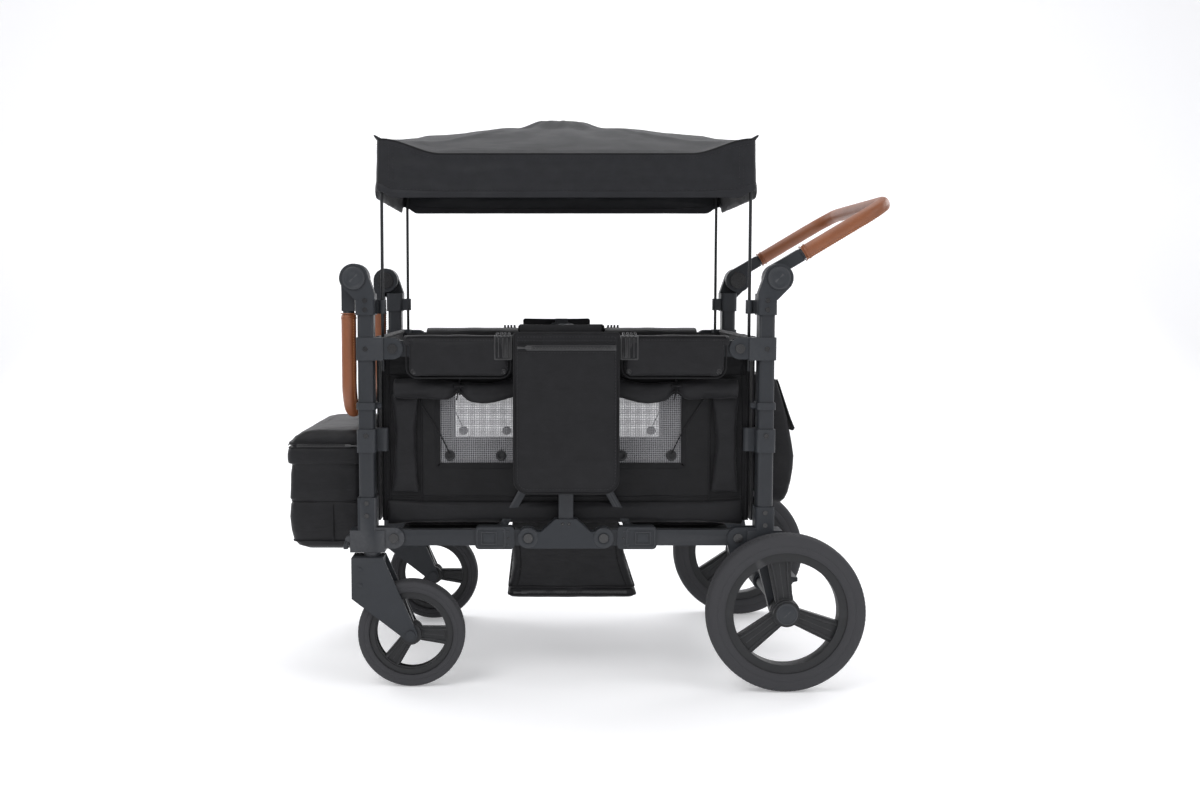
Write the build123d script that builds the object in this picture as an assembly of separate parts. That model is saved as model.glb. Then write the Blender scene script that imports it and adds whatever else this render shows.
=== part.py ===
from build123d import *

import math
import os

# A folding pull wagon for two children. Millimetres and degrees; X runs to the rear, Z is up and
# Y is across. The model is drawn about the middle of its four posts and set down, on saving, with
# the middle of its outline over the origin.

# Running and soft clearances
RUN_FIT = 0.05
SEAT_FIT = 0.1
SIDE_GAP = 0.4
SOFT_GAP = 0.3

# Posts and their sleeves
POST_X = 376.5
POST_Y = 262.0
POST_WIDTH = 30.0
POST_DEPTH = 40.0
POST_WALL = 2.0
POST_ROUND = 6.0
POST_BOTTOM = 300.0
POST_TOP = 735.0
SLEEVE_WALL = 3.0

# Folding rails and their pivots
PIVOT_INSET = 50.5
HUB_PIVOT_X = 71.5
BOTTOM_PIVOT_Z = 285.0
TOP_PIVOT_Z = 644.0
RAIL_OUTSET = 6.0
RAIL_THICK = 18.0
RAIL_HEIGHT = 30.0
RAIL_WALL = 2.0
PIN_RADIUS = 5.0
PIN_HEAD_RADIUS = 9.0
PIN_HEAD = 3.0
CHEEK = 5.0
CHEEK_RADIUS = 20.0
KNUCKLE_RADIUS = 18.0
SOCKET_START = 26.0
BOTTOM_SOCKET_END = 100.5
TOP_SOCKET_END = 62.5
SOCKET_HALF_HEIGHT = 21.5
SOCKET_WALL = 4.0
BELL_BASE_DROP = 21.0
BELL_BASE_LIFT = 1.0
BELL_SHOULDER_DROP = 8.0
BELL_RISE = 36.0
BELL_TOP_WIDTH = 40.0
BELL_BASE_WIDTH = 120.0

# Centre posts, collars and struts
CENTRE_POST_WIDTH = 28.0
CENTRE_POST_FOOT = 266.0
CENTRE_POST_HEAD = 690.0
COLLAR_WALL = 5.0
COLLAR_HEIGHT = 30.0
COLLAR_PIVOT_X = 16.0
COLLAR_PIVOT_Z = 488.0
STRUT_FOOT_X = 118.0
STRUT_FOOT_Z = 306.0
STRUT_WIDTH = 15.0
STRUT_THICK = 5.0
STRUT_BOSS_RADIUS = 6.0
STRUT_PIN_RADIUS = 4.0

# Post heads, handles and buttons
HEAD_OVERHANG = 5.5
HEAD_PIVOT_Z = 776.0
HEAD_FOOT = 707.0
HEAD_SHOULDER = 747.0
HEAD_RADIUS = 27.0
HEAD_PIN_RADIUS = 6.0
BUTTON_RADIUS = 21.5
BUTTON_DEPTH = 8.0
BUTTON_TRAVEL = 4.0
BUTTON_PROUD = 3.0
HANDLE_REACH = 254.0
HANDLE_OFFSET = 14.0
HANDLE_RADIUS = 11.0
HANDLE_WALL = 2.0
HANDLE_CORNER = 60.0
HANDLE_ARM = 62.0
HANDLE_ARM_WIDTH = 24.5
GRIP_RADIUS = 14.3
GRIP_START = 66.0
REAR_HANDLE_ANGLE = 31.0
FRONT_HANDLE_ANGLE = -90.0

# Brackets on the posts
FRONT_SLEEVE_TOP = 362.0
REAR_SLEEVE_TOP = 344.0
CORNER_BASE = 258.0
CORNER_NOSE = 32.5
BLOCK_CLEARANCE = 2.0
UPPER_BRACKET_LOW = 622.0
UPPER_BRACKET_HIGH = 665.0
CLAMP_LOW = 529.0
CLAMP_HIGH = 542.0
LOWER_BRACKET_LOW = 448.0
LOWER_BRACKET_HIGH = 492.0
KNOB_RADIUS = 6.0
KNOB_REACH = 8.0
ROD_SLEEVE_RADIUS = 7.0
LOWER_SLEEVE_RADIUS = 9.0
CROSS_TUBE_RADIUS = 10.0
CROSS_TUBE_WALL = 1.5
CROSS_TUBE_HEIGHTS = (330.0, 470.0, 644.0)

# Canopy
ROD_RADIUS = 3.0
ROD_INSET = 29.5
ROD_SIDE_INSET = 12.0
ROD_FOOT = 600.0
ROD_BEND = 20.0
CANOPY_OVERHANG = 8.0
VALANCE_LOW = 927.0
VALANCE_HIGH = 1030.0
CANOPY_PEAK = 1097.0
PEAK_LENGTH = 120.0
PEAK_WIDTH = 80.0
CLOTH = 2.5

# Wheels
REAR_WHEEL_RADIUS = 150.0
REAR_AXLE_BEHIND_POST = 35.5
REAR_WHEEL_OUTSET = 48.0
REAR_TYRE_WIDTH = 44.0
REAR_TYRE_SEAT = 115.0
REAR_RIM_INNER = 99.0
REAR_HUB_RADIUS = 25.0
REAR_CAP_RADIUS = 21.5
REAR_SPOKE_ANGLES = (98.0, 218.0, 338.0)
FRONT_WHEEL_RADIUS = 102.3
FRONT_WHEEL_OUTSET = 10.0
FRONT_TYRE_WIDTH = 40.0
FRONT_TYRE_SEAT = 80.0
FRONT_RIM_INNER = 69.0
FRONT_HUB_RADIUS = 20.0
FRONT_CAP_RADIUS = 15.0
FRONT_SPOKE_ANGLES = (115.0, 235.0, 355.0)
TYRE_CROWN = 9.0
RIM_INSET = 7.0
SPOKE_THICK = 14.0
SPOKE_ROOT = 1.2
SPOKE_SPREAD = 1.45
CAP_THICK = 3.0
REAR_AXLE_RADIUS = 6.0
AXLE_TUBE_RADIUS = 12.0
LEG_THICK = 22.0
LEG_OUTER_INSET = 2.0
LEG_FOOT_RADIUS = 24.0
LEG_TOP_WIDTH = 50.0
PEDAL_HALF_WIDTH = 40.0
PEDAL_RADIUS = 18.0
PEDAL_REACH = 75.0
PEDAL_PLATE = 8.0

# Casters
KINGPIN_INSET = 8.5
KINGPIN_RADIUS = 8.0
CASTER_TRAIL = 74.0
CASTER_AXLE_RADIUS = 5.0
FORK_GAP = 2.5
FORK_PLATE = 5.0
FORK_TOP = 250.0
FORK_NOSE = 37.0
FORK_BACK = 23.0
FORK_NOSE_LOW = 172.0
FORK_TIP_RADIUS = 13.0
CROWN_DEPTH = 22.0
FORK_RIVET_STEP = 30.0
RING_RADIUS = 16.0
LEVER_PIN_RADIUS = 2.5
LEVER_EYE_RADIUS = 4.5
LEVER_SEAT = 7.0
LEVER_PIN_Z = 283.0
LEVER_PIN_AHEAD = 4.8
LEVER_HALF_WIDTH = 12.6
LEVER_EAR = 5.0
LEVER_TAB_LOW = 262.0
LEVER_TAB_AHEAD = 14.0
LEVER_TAB_THICK = 8.0
LEVER_TAB_HEIGHT = 6.0

# Tub, floor and bags
LINER_GAP = 0.5
LINER_THICK = 4.0
LINER_LOW = 310.0
LINER_HIGH = 662.0
PANEL_THICK = 6.0
PANEL_INSET = 24.5
PANEL_HIGH = 660.0
BOARD_START = 125.0
BOARD_END_INSET = 11.0
BOARD_SIDE_GAP = 9.0
BOARD_THICK = 8.0
BAR_RADIUS = 7.0
BAR_RISE = 1.0
BAR_Z = 280.0
BAR_INSET = 25.0
BAR_MARGIN = 5.0
PAD_THICK = 18.0
PAD_MARGIN = 3.0
FOOTWELL_SIDE_INSET = 27.0
FOOTWELL_FLOOR = 150.0
FOOTWELL_TOP_HALF = 115.0
FOOTWELL_TAPER = 22.0
FOOTWELL_LIP = 136.0
FABRIC = 3.0
FLAP_END_INSET = 27.0
FLAP_LOW = 590.0
FLAP_THICK = 4.0
FLAP_OFFSET = 2.0
POCKET_HALF_WIDTH = 98.0
POCKET_LOW = 375.0
POCKET_HIGH = 674.0
POCKET_DEPTH = 26.0
POCKET_STANDOFF = 24.0
POCKET_ROUND = 18.0
POCKET_STRAP_HALF = 45.0
POCKET_STRAP_LOW = 640.0
POCKET_STRAP_HIGH = 690.0
BAG_SIDE_INSET = 52.0
BAG_FRONT = 163.5
BAG_LOW = 241.0
BAG_HIGH = 482.0
BAG_STANDOFF = 8.5
BAG_STRAP_HALF = 8.0
REAR_BAG_LOW = 335.0
REAR_BAG_HIGH = 581.0
REAR_BAG_DEPTH = 51.0
REAR_BAG_FOOT = 0.7
REAR_BAG_TOP = 0.5

# Rivets
RIVET_RADIUS = 4.5
RIVET_HEIGHT = 1.5
RIVET_EDGE = 15.75

# Places that follow from the sizes above
CORNER_PIVOT_X = POST_X - PIVOT_INSET
RAIL_Y = POST_Y + RAIL_OUTSET
RAIL_INNER = RAIL_Y - RAIL_THICK / 2
RAIL_OUTER = RAIL_Y + RAIL_THICK / 2
PLATE_INNER = RAIL_INNER - SIDE_GAP
PLATE_OUTER = RAIL_OUTER + SIDE_GAP
POST_OUTER_Y = POST_Y + POST_DEPTH / 2
POST_INNER_Y = POST_Y - POST_DEPTH / 2
REAR_WHEEL_X = POST_X + REAR_AXLE_BEHIND_POST
REAR_WHEEL_Y = POST_Y + REAR_WHEEL_OUTSET
FRONT_WHEEL_Y = POST_Y + FRONT_WHEEL_OUTSET
KINGPIN_X = -(POST_X - KINGPIN_INSET)
ROD_Y = POST_Y - ROD_SIDE_INSET
LINER_OUTER = POST_INNER_Y - SLEEVE_WALL - LINER_GAP
LINER_INNER = LINER_OUTER - LINER_THICK
BOARD_HALF_WIDTH = LINER_INNER - BOARD_SIDE_GAP
FOOTWELL_HALF_WIDTH = BOARD_HALF_WIDTH - FOOTWELL_SIDE_INSET
BAG_HALF_WIDTH = POST_INNER_Y - BAG_SIDE_INSET
SLEEVE_OUTER_Y = POST_OUTER_Y + SLEEVE_WALL
SLEEVE_INNER_Y = POST_INNER_Y - SLEEVE_WALL
SLEEVE_HALF_X = POST_WIDTH / 2 + SLEEVE_WALL
BLOCK_X = CORNER_PIVOT_X + RAIL_HEIGHT / 2 + BLOCK_CLEARANCE
ROD_X = POST_X - ROD_INSET
CANOPY_HALF_LENGTH = ROD_X + CANOPY_OVERHANG
CANOPY_HALF_WIDTH = ROD_Y + CANOPY_OVERHANG
HEAD_X = POST_X + POST_WIDTH / 2 + HEAD_OVERHANG
EYE_OUTER = POST_Y + SIDE_GAP
EYE_INNER = POST_INNER_Y + SOFT_GAP
ARM_Y = (EYE_INNER + EYE_OUTER) / 2
LEG_OUTER = POST_OUTER_Y - LEG_OUTER_INSET
LEG_INNER = LEG_OUTER - LEG_THICK
PANEL_X = POST_X - PANEL_INSET
BOARD_LOW = BAR_Z + BAR_RADIUS - BAR_RISE
CASTER_X = KINGPIN_X + CASTER_TRAIL
FORK_INNER = FRONT_TYRE_WIDTH / 2 + FORK_GAP
FORK_OUTER = FORK_INNER + FORK_PLATE
HANDLE_LEAN = math.radians(REAR_HANDLE_ANGLE)
REAR_END = (
    HEAD_X
    + HANDLE_REACH * math.cos(HANDLE_LEAN)
    - HANDLE_OFFSET * math.sin(HANDLE_LEAN)
    + GRIP_RADIUS
)
FRONT_END = -(POST_X + BAG_FRONT)
CENTRE_SHIFT = -(REAR_END + FRONT_END) / 2


# Shared shapes


def block(x_span, y_span, z_span):
    """A box given by its two ends along x, y and z."""
    spans = (x_span, y_span, z_span)
    size = [high - low for low, high in spans]
    middle = [(high + low) / 2 for low, high in spans]
    return Pos(*middle) * Box(*size)


def slab(sketch, y_low, y_high):
    """A sketch drawn in x and z, made solid from y_low to y_high."""
    placed = Plane((0, y_high, 0), x_dir=(1, 0, 0), z_dir=(0, -1, 0)) * sketch
    return extrude(placed, amount=y_high - y_low)


def disc(x, z, radius, y_low, y_high):
    """A round piece across the wagon, centred on x and z."""
    return slab(Pos(x, z) * Circle(radius), y_low, y_high)


def rectangle(x_span, z_span):
    """A flat rectangle in x and z."""
    width = x_span[1] - x_span[0]
    height = z_span[1] - z_span[0]
    return Pos(sum(x_span) / 2, sum(z_span) / 2) * Rectangle(width, height)


def wrapped(*sketches):
    """The outline that a string pulled tight round the sketches would have."""
    edges = [edge for sketch in sketches for edge in sketch.edges()]
    return make_hull(edges)


def both_sides(shape):
    """A piece and its copy on the other side of the wagon."""
    return [shape, mirror(shape, about=Plane.XZ)]


def to_front(shapes):
    """Pieces drawn at the rear, turned round to the front."""
    return [mirror(shape, about=Plane.YZ) for shape in shapes]


def save(node, shapes):
    """Write the separate solids of one node, set down in the wagon's own frame."""
    solids = [solid for shape in shapes for solid in shape.solids()]
    moved = [Pos(CENTRE_SHIFT, 0, 0) * solid for solid in solids]
    export_step(Compound(children=moved), f"parts/{node}.step")


# Posts, brackets and cross tubes, drawn at the rear left


def post():
    """One square tube with rounded corners."""
    outer = RectangleRounded(POST_WIDTH, POST_DEPTH, POST_ROUND)
    inner = RectangleRounded(
        POST_WIDTH - 2 * POST_WALL, POST_DEPTH - 2 * POST_WALL, POST_ROUND - POST_WALL
    )
    tube = extrude(outer - inner, amount=POST_TOP - POST_BOTTOM)
    return Pos(POST_X, POST_Y, POST_BOTTOM) * tube


def post_room(low, high):
    """The space that a post takes up, with a seat clearance."""
    outline = RectangleRounded(
        POST_WIDTH + 2 * SEAT_FIT, POST_DEPTH + 2 * SEAT_FIT, POST_ROUND + SEAT_FIT
    )
    return Pos(POST_X, POST_Y, low) * extrude(outline, amount=high - low)


def sleeve(low, high):
    """A solid plug as wide as a post sleeve. The post's room is cut from it later."""
    outline = RectangleRounded(
        POST_WIDTH + 2 * SLEEVE_WALL, POST_DEPTH + 2 * SLEEVE_WALL, POST_ROUND
    )
    return Pos(POST_X, POST_Y, low) * extrude(outline, amount=high - low)


def pivot_cheeks(pivot_z):
    """The two ears that hold a rail's outer end, bored for its pin."""
    eye = Pos(CORNER_PIVOT_X, pivot_z) * Circle(CHEEK_RADIUS)
    root = rectangle(
        (CORNER_PIVOT_X, POST_X - SLEEVE_HALF_X + SLEEVE_WALL / 2),
        (pivot_z - CHEEK_RADIUS, pivot_z + CHEEK_RADIUS),
    )
    outline = eye + root - Pos(CORNER_PIVOT_X, pivot_z) * Circle(PIN_RADIUS + RUN_FIT)
    outer = slab(outline, PLATE_OUTER, PLATE_OUTER + CHEEK)
    inner = slab(outline, PLATE_INNER - CHEEK, PLATE_INNER)
    return outer, inner


def rod_bore(low, high):
    """The hole that a canopy rod slides in."""
    height = high - low
    hole = Cylinder(ROD_RADIUS + RUN_FIT, height + 2 * CHEEK)
    return Pos(ROD_X, ROD_Y, (low + high) / 2) * hole


def corner_bracket(sleeve_top):
    """The block under a post, with its sleeve and the ears of the lower rail pivot."""
    base = block(
        (BLOCK_X, POST_X + CORNER_NOSE),
        (SLEEVE_INNER_Y, SLEEVE_OUTER_Y),
        (CORNER_BASE, POST_BOTTOM),
    )
    outer, inner = pivot_cheeks(BOTTOM_PIVOT_Z)
    body = sleeve(POST_BOTTOM - SLEEVE_WALL, sleeve_top) + base + outer + inner
    return body - post_room(POST_BOTTOM, sleeve_top)


def rear_corner_bracket():
    """The rear bracket, with the leg that reaches down to the axle."""
    top = rectangle(
        (POST_X + CORNER_NOSE - LEG_TOP_WIDTH, POST_X + CORNER_NOSE),
        (CORNER_BASE, BOTTOM_PIVOT_Z),
    )
    foot = Pos(REAR_WHEEL_X, REAR_WHEEL_RADIUS) * Circle(LEG_FOOT_RADIUS)
    leg = slab(wrapped(top, foot), LEG_INNER, LEG_OUTER)
    bore = disc(
        REAR_WHEEL_X, REAR_WHEEL_RADIUS, REAR_AXLE_RADIUS + RUN_FIT, LEG_INNER, LEG_OUTER
    )
    return corner_bracket(REAR_SLEEVE_TOP) + leg - bore


def front_corner_bracket():
    """The front bracket, drawn at the rear, with the kingpin's bore and the lever's ears."""
    kingpin = -KINGPIN_X
    ring_low = FORK_TOP + SOFT_GAP
    ring = Pos(kingpin, FRONT_WHEEL_Y, (ring_low + CORNER_BASE) / 2) * Cylinder(
        RING_RADIUS, CORNER_BASE - ring_low
    )
    bore = Pos(kingpin, FRONT_WHEEL_Y, (ring_low + POST_BOTTOM) / 2) * Cylinder(
        KINGPIN_RADIUS + RUN_FIT, POST_BOTTOM - ring_low
    )
    nose = POST_X + CORNER_NOSE
    pin_x = nose + LEVER_PIN_AHEAD
    seat = rectangle((nose - LEVER_EYE_RADIUS, nose), (LEVER_PIN_Z - LEVER_SEAT, LEVER_PIN_Z + LEVER_SEAT))
    ear = wrapped(seat, Pos(pin_x, LEVER_PIN_Z) * Circle(LEVER_EYE_RADIUS))
    body = corner_bracket(FRONT_SLEEVE_TOP) + ring - bore
    for side in (-1, 1):
        near = POST_Y + side * (LEVER_HALF_WIDTH + SIDE_GAP)
        far = near + side * LEVER_EAR
        body += slab(ear, min(near, far), max(near, far))
    reach = LEVER_HALF_WIDTH + SIDE_GAP + LEVER_EAR / 2
    pin = disc(pin_x, LEVER_PIN_Z, LEVER_PIN_RADIUS, POST_Y - reach, POST_Y + reach)
    return body + pin


def upper_bracket():
    """The clamp at the top rail, with its pivot ears and the canopy rod's sleeve."""
    low, high = UPPER_BRACKET_LOW, UPPER_BRACKET_HIGH
    outer, inner = pivot_cheeks(TOP_PIVOT_Z)
    web = block((BLOCK_X, POST_X), (SLEEVE_INNER_Y, SLEEVE_OUTER_Y), (low, high))
    guide = Pos(ROD_X, ROD_Y, (low + high) / 2) * Cylinder(ROD_SLEEVE_RADIUS, high - low)
    body = sleeve(low, high) + web + outer + inner + guide
    return body - post_room(low, high) - rod_bore(low, high)


def clamp():
    """The thin collar half way up a post, with its round knob."""
    knob_x = POST_X - SLEEVE_HALF_X - KNOB_REACH / 2
    knob = Pos(knob_x, POST_Y, (CLAMP_LOW + CLAMP_HIGH) / 2) * (
        Rot(0, 90, 0) * Cylinder(KNOB_RADIUS, KNOB_REACH + SLEEVE_WALL)
    )
    return sleeve(CLAMP_LOW, CLAMP_HIGH) + knob - post_room(CLAMP_LOW, CLAMP_HIGH)


def lower_bracket():
    """The clamp that guides the foot of a canopy rod."""
    low, high = LOWER_BRACKET_LOW, LOWER_BRACKET_HIGH
    web = block(
        (ROD_X, POST_X),
        (ROD_Y - LOWER_SLEEVE_RADIUS, ROD_Y + LOWER_SLEEVE_RADIUS),
        (low, high),
    )
    guide = Pos(ROD_X, ROD_Y, (low + high) / 2) * Cylinder(LOWER_SLEEVE_RADIUS, high - low)
    body = sleeve(low, high) + web + guide
    return body - post_room(low, high) - rod_bore(low, high)


def cross_tube(height):
    """One tube between the two posts of a frame."""
    ring = Circle(CROSS_TUBE_RADIUS) - Circle(CROSS_TUBE_RADIUS - CROSS_TUBE_WALL)
    return slab(Pos(POST_X, height) * ring, -SLEEVE_INNER_Y, SLEEVE_INNER_Y)


# Post heads, buttons and handles


def post_head():
    """The casting on a post: a cap, the rod's clip and the round housing of the handle pivot."""
    cap = sleeve(HEAD_FOOT, HEAD_SHOULDER)
    neck = rectangle(
        (POST_X - SLEEVE_HALF_X, POST_X + SLEEVE_HALF_X), (POST_TOP, HEAD_SHOULDER)
    )
    housing = Pos(HEAD_X, HEAD_PIVOT_Z) * Circle(HEAD_RADIUS)
    elbow = slab(wrapped(neck, housing), EYE_OUTER + SOFT_GAP, SLEEVE_OUTER_Y)
    pin = disc(HEAD_X, HEAD_PIVOT_Z, HEAD_PIN_RADIUS, POST_INNER_Y, POST_OUTER_Y)
    well = disc(
        HEAD_X,
        HEAD_PIVOT_Z,
        BUTTON_RADIUS + SOFT_GAP,
        SLEEVE_OUTER_Y + BUTTON_PROUD - BUTTON_DEPTH - BUTTON_TRAVEL - SOFT_GAP,
        SLEEVE_OUTER_Y + CHEEK,
    )
    clip_low = HEAD_FOOT + BLOCK_CLEARANCE
    clip = block(
        (ROD_X, POST_X), (ROD_Y - ROD_SLEEVE_RADIUS, ROD_Y), (clip_low, POST_TOP)
    )
    clip += Pos(ROD_X, ROD_Y, (clip_low + POST_TOP) / 2) * Cylinder(
        ROD_SLEEVE_RADIUS, POST_TOP - clip_low
    )
    body = cap + elbow + pin + clip - well
    return body - post_room(HEAD_FOOT, POST_TOP + SEAT_FIT) - rod_bore(clip_low, POST_TOP)


def button():
    """The round push button in a handle pivot."""
    return disc(
        HEAD_X,
        HEAD_PIVOT_Z,
        BUTTON_RADIUS,
        SLEEVE_OUTER_Y + BUTTON_PROUD - BUTTON_DEPTH,
        SLEEVE_OUTER_Y + BUTTON_PROUD,
    )


def handle_line(start):
    """The middle line of a handle's tube, drawn pointing straight to the rear."""
    corners = [
        (start, -ARM_Y, HANDLE_OFFSET),
        (HANDLE_REACH, -ARM_Y, HANDLE_OFFSET),
        (HANDLE_REACH, ARM_Y, HANDLE_OFFSET),
        (start, ARM_Y, HANDLE_OFFSET),
    ]
    return FilletPolyline(*corners, radius=HANDLE_CORNER)


def round_tube(line, radius, inner):
    """A round tube along a line."""
    ring = Plane(line @ 0, z_dir=line % 0) * (Circle(radius) - Circle(inner))
    return sweep(ring, path=line)


def handle(angle):
    """The tube and arms of a handle, and its leather grip, raised by an angle at the pivot."""
    tube = round_tube(handle_line(HANDLE_ARM), HANDLE_RADIUS, HANDLE_RADIUS - HANDLE_WALL)
    half = HANDLE_ARM_WIDTH / 2
    strap = rectangle((0, HANDLE_ARM), (HANDLE_OFFSET - half, HANDLE_OFFSET + half))
    outline = wrapped(Circle(HEAD_RADIUS), rectangle((0, HEAD_RADIUS), (0, HANDLE_OFFSET + half)))
    outline = outline + strap - Circle(HEAD_PIN_RADIUS + RUN_FIT)
    arms = both_sides(slab(outline, EYE_INNER, EYE_OUTER))
    grip = round_tube(handle_line(GRIP_START), GRIP_RADIUS, HANDLE_RADIUS + SEAT_FIT)
    place = Pos(HEAD_X, 0, HEAD_PIVOT_Z) * Rot(0, -angle, 0)
    return [place * piece for piece in (tube, *arms)], [place * grip]


# Wheels, drawn in place on the left


def spoke(angle, inner, outer, root_width, tip_width):
    """One spoke's outline, wider at the rim, at an angle from the rear."""
    points = [
        (inner, -root_width / 2),
        (outer, -tip_width / 2),
        (outer, tip_width / 2),
        (inner, root_width / 2),
    ]
    return Rot(0, 0, angle) * make_face(Polyline(*points, close=True))


def wheel(hub, rim, seat, outside, width, spokes, bore):
    """A rim with its spokes and hub, and its tyre, round the y axis."""
    hub_radius, hub_inner, hub_outer, cap_radius = hub
    half_rim = width / 2 - RIM_INSET
    ring = slab(Circle(seat) - Circle(rim), -half_rim, half_rim)
    root = hub_radius * SPOKE_ROOT
    web = Circle(hub_radius)
    for angle in spokes:
        web += spoke(angle, hub_radius / 2, rim + SLEEVE_WALL, root, root * SPOKE_SPREAD)
    centre = slab(web, -SPOKE_THICK / 2, SPOKE_THICK / 2)
    barrel = slab(Circle(hub_radius), hub_inner, hub_outer)
    body = ring + centre + barrel - slab(Circle(bore + RUN_FIT), hub_inner, hub_outer)
    cap = slab(Circle(cap_radius), hub_outer, hub_outer + CAP_THICK)
    profile = Rectangle(outside - seat - RUN_FIT, width)
    profile = fillet(profile.vertices().sort_by(Axis.X)[-2:], TYRE_CROWN)
    middle = (outside + seat + RUN_FIT) / 2
    tyre = revolve(Plane.XY * Pos(middle, 0) * profile, Axis.Y)
    return [body, cap], [tyre]


def rear_wheel():
    """The rim and tyre of a rear wheel."""
    half = REAR_TYRE_WIDTH / 2
    hub_inner = LEG_OUTER + SIDE_GAP - REAR_WHEEL_Y
    rim, tyre = wheel(
        (REAR_HUB_RADIUS, hub_inner, half - CAP_THICK, REAR_CAP_RADIUS),
        REAR_RIM_INNER,
        REAR_TYRE_SEAT,
        REAR_WHEEL_RADIUS,
        REAR_TYRE_WIDTH,
        REAR_SPOKE_ANGLES,
        REAR_AXLE_RADIUS,
    )
    place = Pos(REAR_WHEEL_X, REAR_WHEEL_Y, REAR_WHEEL_RADIUS)
    return [place * piece for piece in rim], [place * piece for piece in tyre]


def front_wheel():
    """The rim and tyre of a caster wheel."""
    half = FORK_INNER - SIDE_GAP
    rim, tyre = wheel(
        (FRONT_HUB_RADIUS, -half, half - SIDE_GAP, FRONT_CAP_RADIUS),
        FRONT_RIM_INNER,
        FRONT_TYRE_SEAT,
        FRONT_WHEEL_RADIUS,
        FRONT_TYRE_WIDTH,
        FRONT_SPOKE_ANGLES,
        CASTER_AXLE_RADIUS,
    )
    place = Pos(CASTER_X, FRONT_WHEEL_Y, FRONT_WHEEL_RADIUS)
    return [place * rim[0]], [place * tyre[0]]


def caster_fork():
    """The fork with its kingpin, axle and rivets."""
    plate = wrapped(
        rectangle(
            (KINGPIN_X - FORK_NOSE, KINGPIN_X + FORK_BACK), (FORK_NOSE_LOW, FORK_TOP)
        ),
        Pos(CASTER_X, FRONT_WHEEL_RADIUS) * Circle(FORK_TIP_RADIUS),
    )
    plate -= Pos(CASTER_X, FRONT_WHEEL_RADIUS) * Circle(CASTER_AXLE_RADIUS + RUN_FIT)
    near, far = FRONT_WHEEL_Y - FORK_OUTER, FRONT_WHEEL_Y + FORK_OUTER
    body = slab(plate, near, near + FORK_PLATE) + slab(plate, far - FORK_PLATE, far)
    body += block(
        (KINGPIN_X - FORK_NOSE, KINGPIN_X + FORK_BACK),
        (near, far),
        (FORK_TOP - CROWN_DEPTH, FORK_TOP),
    )
    stem_top = POST_BOTTOM - BLOCK_CLEARANCE
    stem = Cylinder(KINGPIN_RADIUS, stem_top - FORK_TOP + RIVET_HEIGHT)
    body += Pos(KINGPIN_X, FRONT_WHEEL_Y, (stem_top + FORK_TOP - RIVET_HEIGHT) / 2) * stem
    axle = disc(CASTER_X, FRONT_WHEEL_RADIUS, CASTER_AXLE_RADIUS, near, far)
    heads = [
        disc(CASTER_X, FRONT_WHEEL_RADIUS, PIN_HEAD_RADIUS, far, far + PIN_HEAD),
        disc(CASTER_X, FRONT_WHEEL_RADIUS, PIN_HEAD_RADIUS, near - PIN_HEAD, near),
    ]
    rivet_x = KINGPIN_X - FORK_NOSE + RIVET_EDGE
    for drop in (CROWN_DEPTH, CROWN_DEPTH + FORK_RIVET_STEP):
        rivet_z = FORK_TOP - drop
        heads.append(disc(rivet_x, rivet_z, RIVET_RADIUS, far, far + RIVET_HEIGHT))
    return [body, axle, *heads]


def lock_lever():
    """The swivel lock's lever, drawn at the rear and hung from its pin."""
    nose = POST_X + CORNER_NOSE
    pin_x = nose + LEVER_PIN_AHEAD
    tab_x = nose + LEVER_TAB_AHEAD
    tab = rectangle((tab_x - LEVER_TAB_THICK, tab_x), (LEVER_TAB_LOW, LEVER_TAB_LOW + LEVER_TAB_HEIGHT))
    outline = wrapped(tab, Pos(pin_x, LEVER_PIN_Z) * Circle(LEVER_EYE_RADIUS))
    outline -= Pos(pin_x, LEVER_PIN_Z) * Circle(LEVER_PIN_RADIUS + RUN_FIT)
    return slab(outline, POST_Y - LEVER_HALF_WIDTH, POST_Y + LEVER_HALF_WIDTH)


def rear_axle():
    """The solid axle rod, and the tube between the two legs."""
    end = REAR_WHEEL_Y + REAR_TYRE_WIDTH / 2 - CAP_THICK - SIDE_GAP
    rod = disc(REAR_WHEEL_X, REAR_WHEEL_RADIUS, REAR_AXLE_RADIUS, -end, end)
    ring = Circle(AXLE_TUBE_RADIUS) - Circle(REAR_AXLE_RADIUS + SEAT_FIT)
    tube = slab(Pos(REAR_WHEEL_X, REAR_WHEEL_RADIUS) * ring, -LEG_INNER, LEG_INNER)
    return [rod, tube]


def brake_pedal():
    """The foot pedal that turns on the axle tube."""
    boss = Pos(REAR_WHEEL_X, REAR_WHEEL_RADIUS) * Circle(PEDAL_RADIUS)
    tip_x = REAR_WHEEL_X + PEDAL_REACH
    tip = rectangle(
        (tip_x - PEDAL_PLATE, tip_x), (REAR_WHEEL_RADIUS, REAR_WHEEL_RADIUS + PEDAL_PLATE)
    )
    outline = wrapped(boss, tip)
    outline -= Pos(REAR_WHEEL_X, REAR_WHEEL_RADIUS) * Circle(AXLE_TUBE_RADIUS + RUN_FIT)
    return slab(outline, -PEDAL_HALF_WIDTH, PEDAL_HALF_WIDTH)


# Folding rails, centre posts and struts, drawn at the rear left


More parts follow.
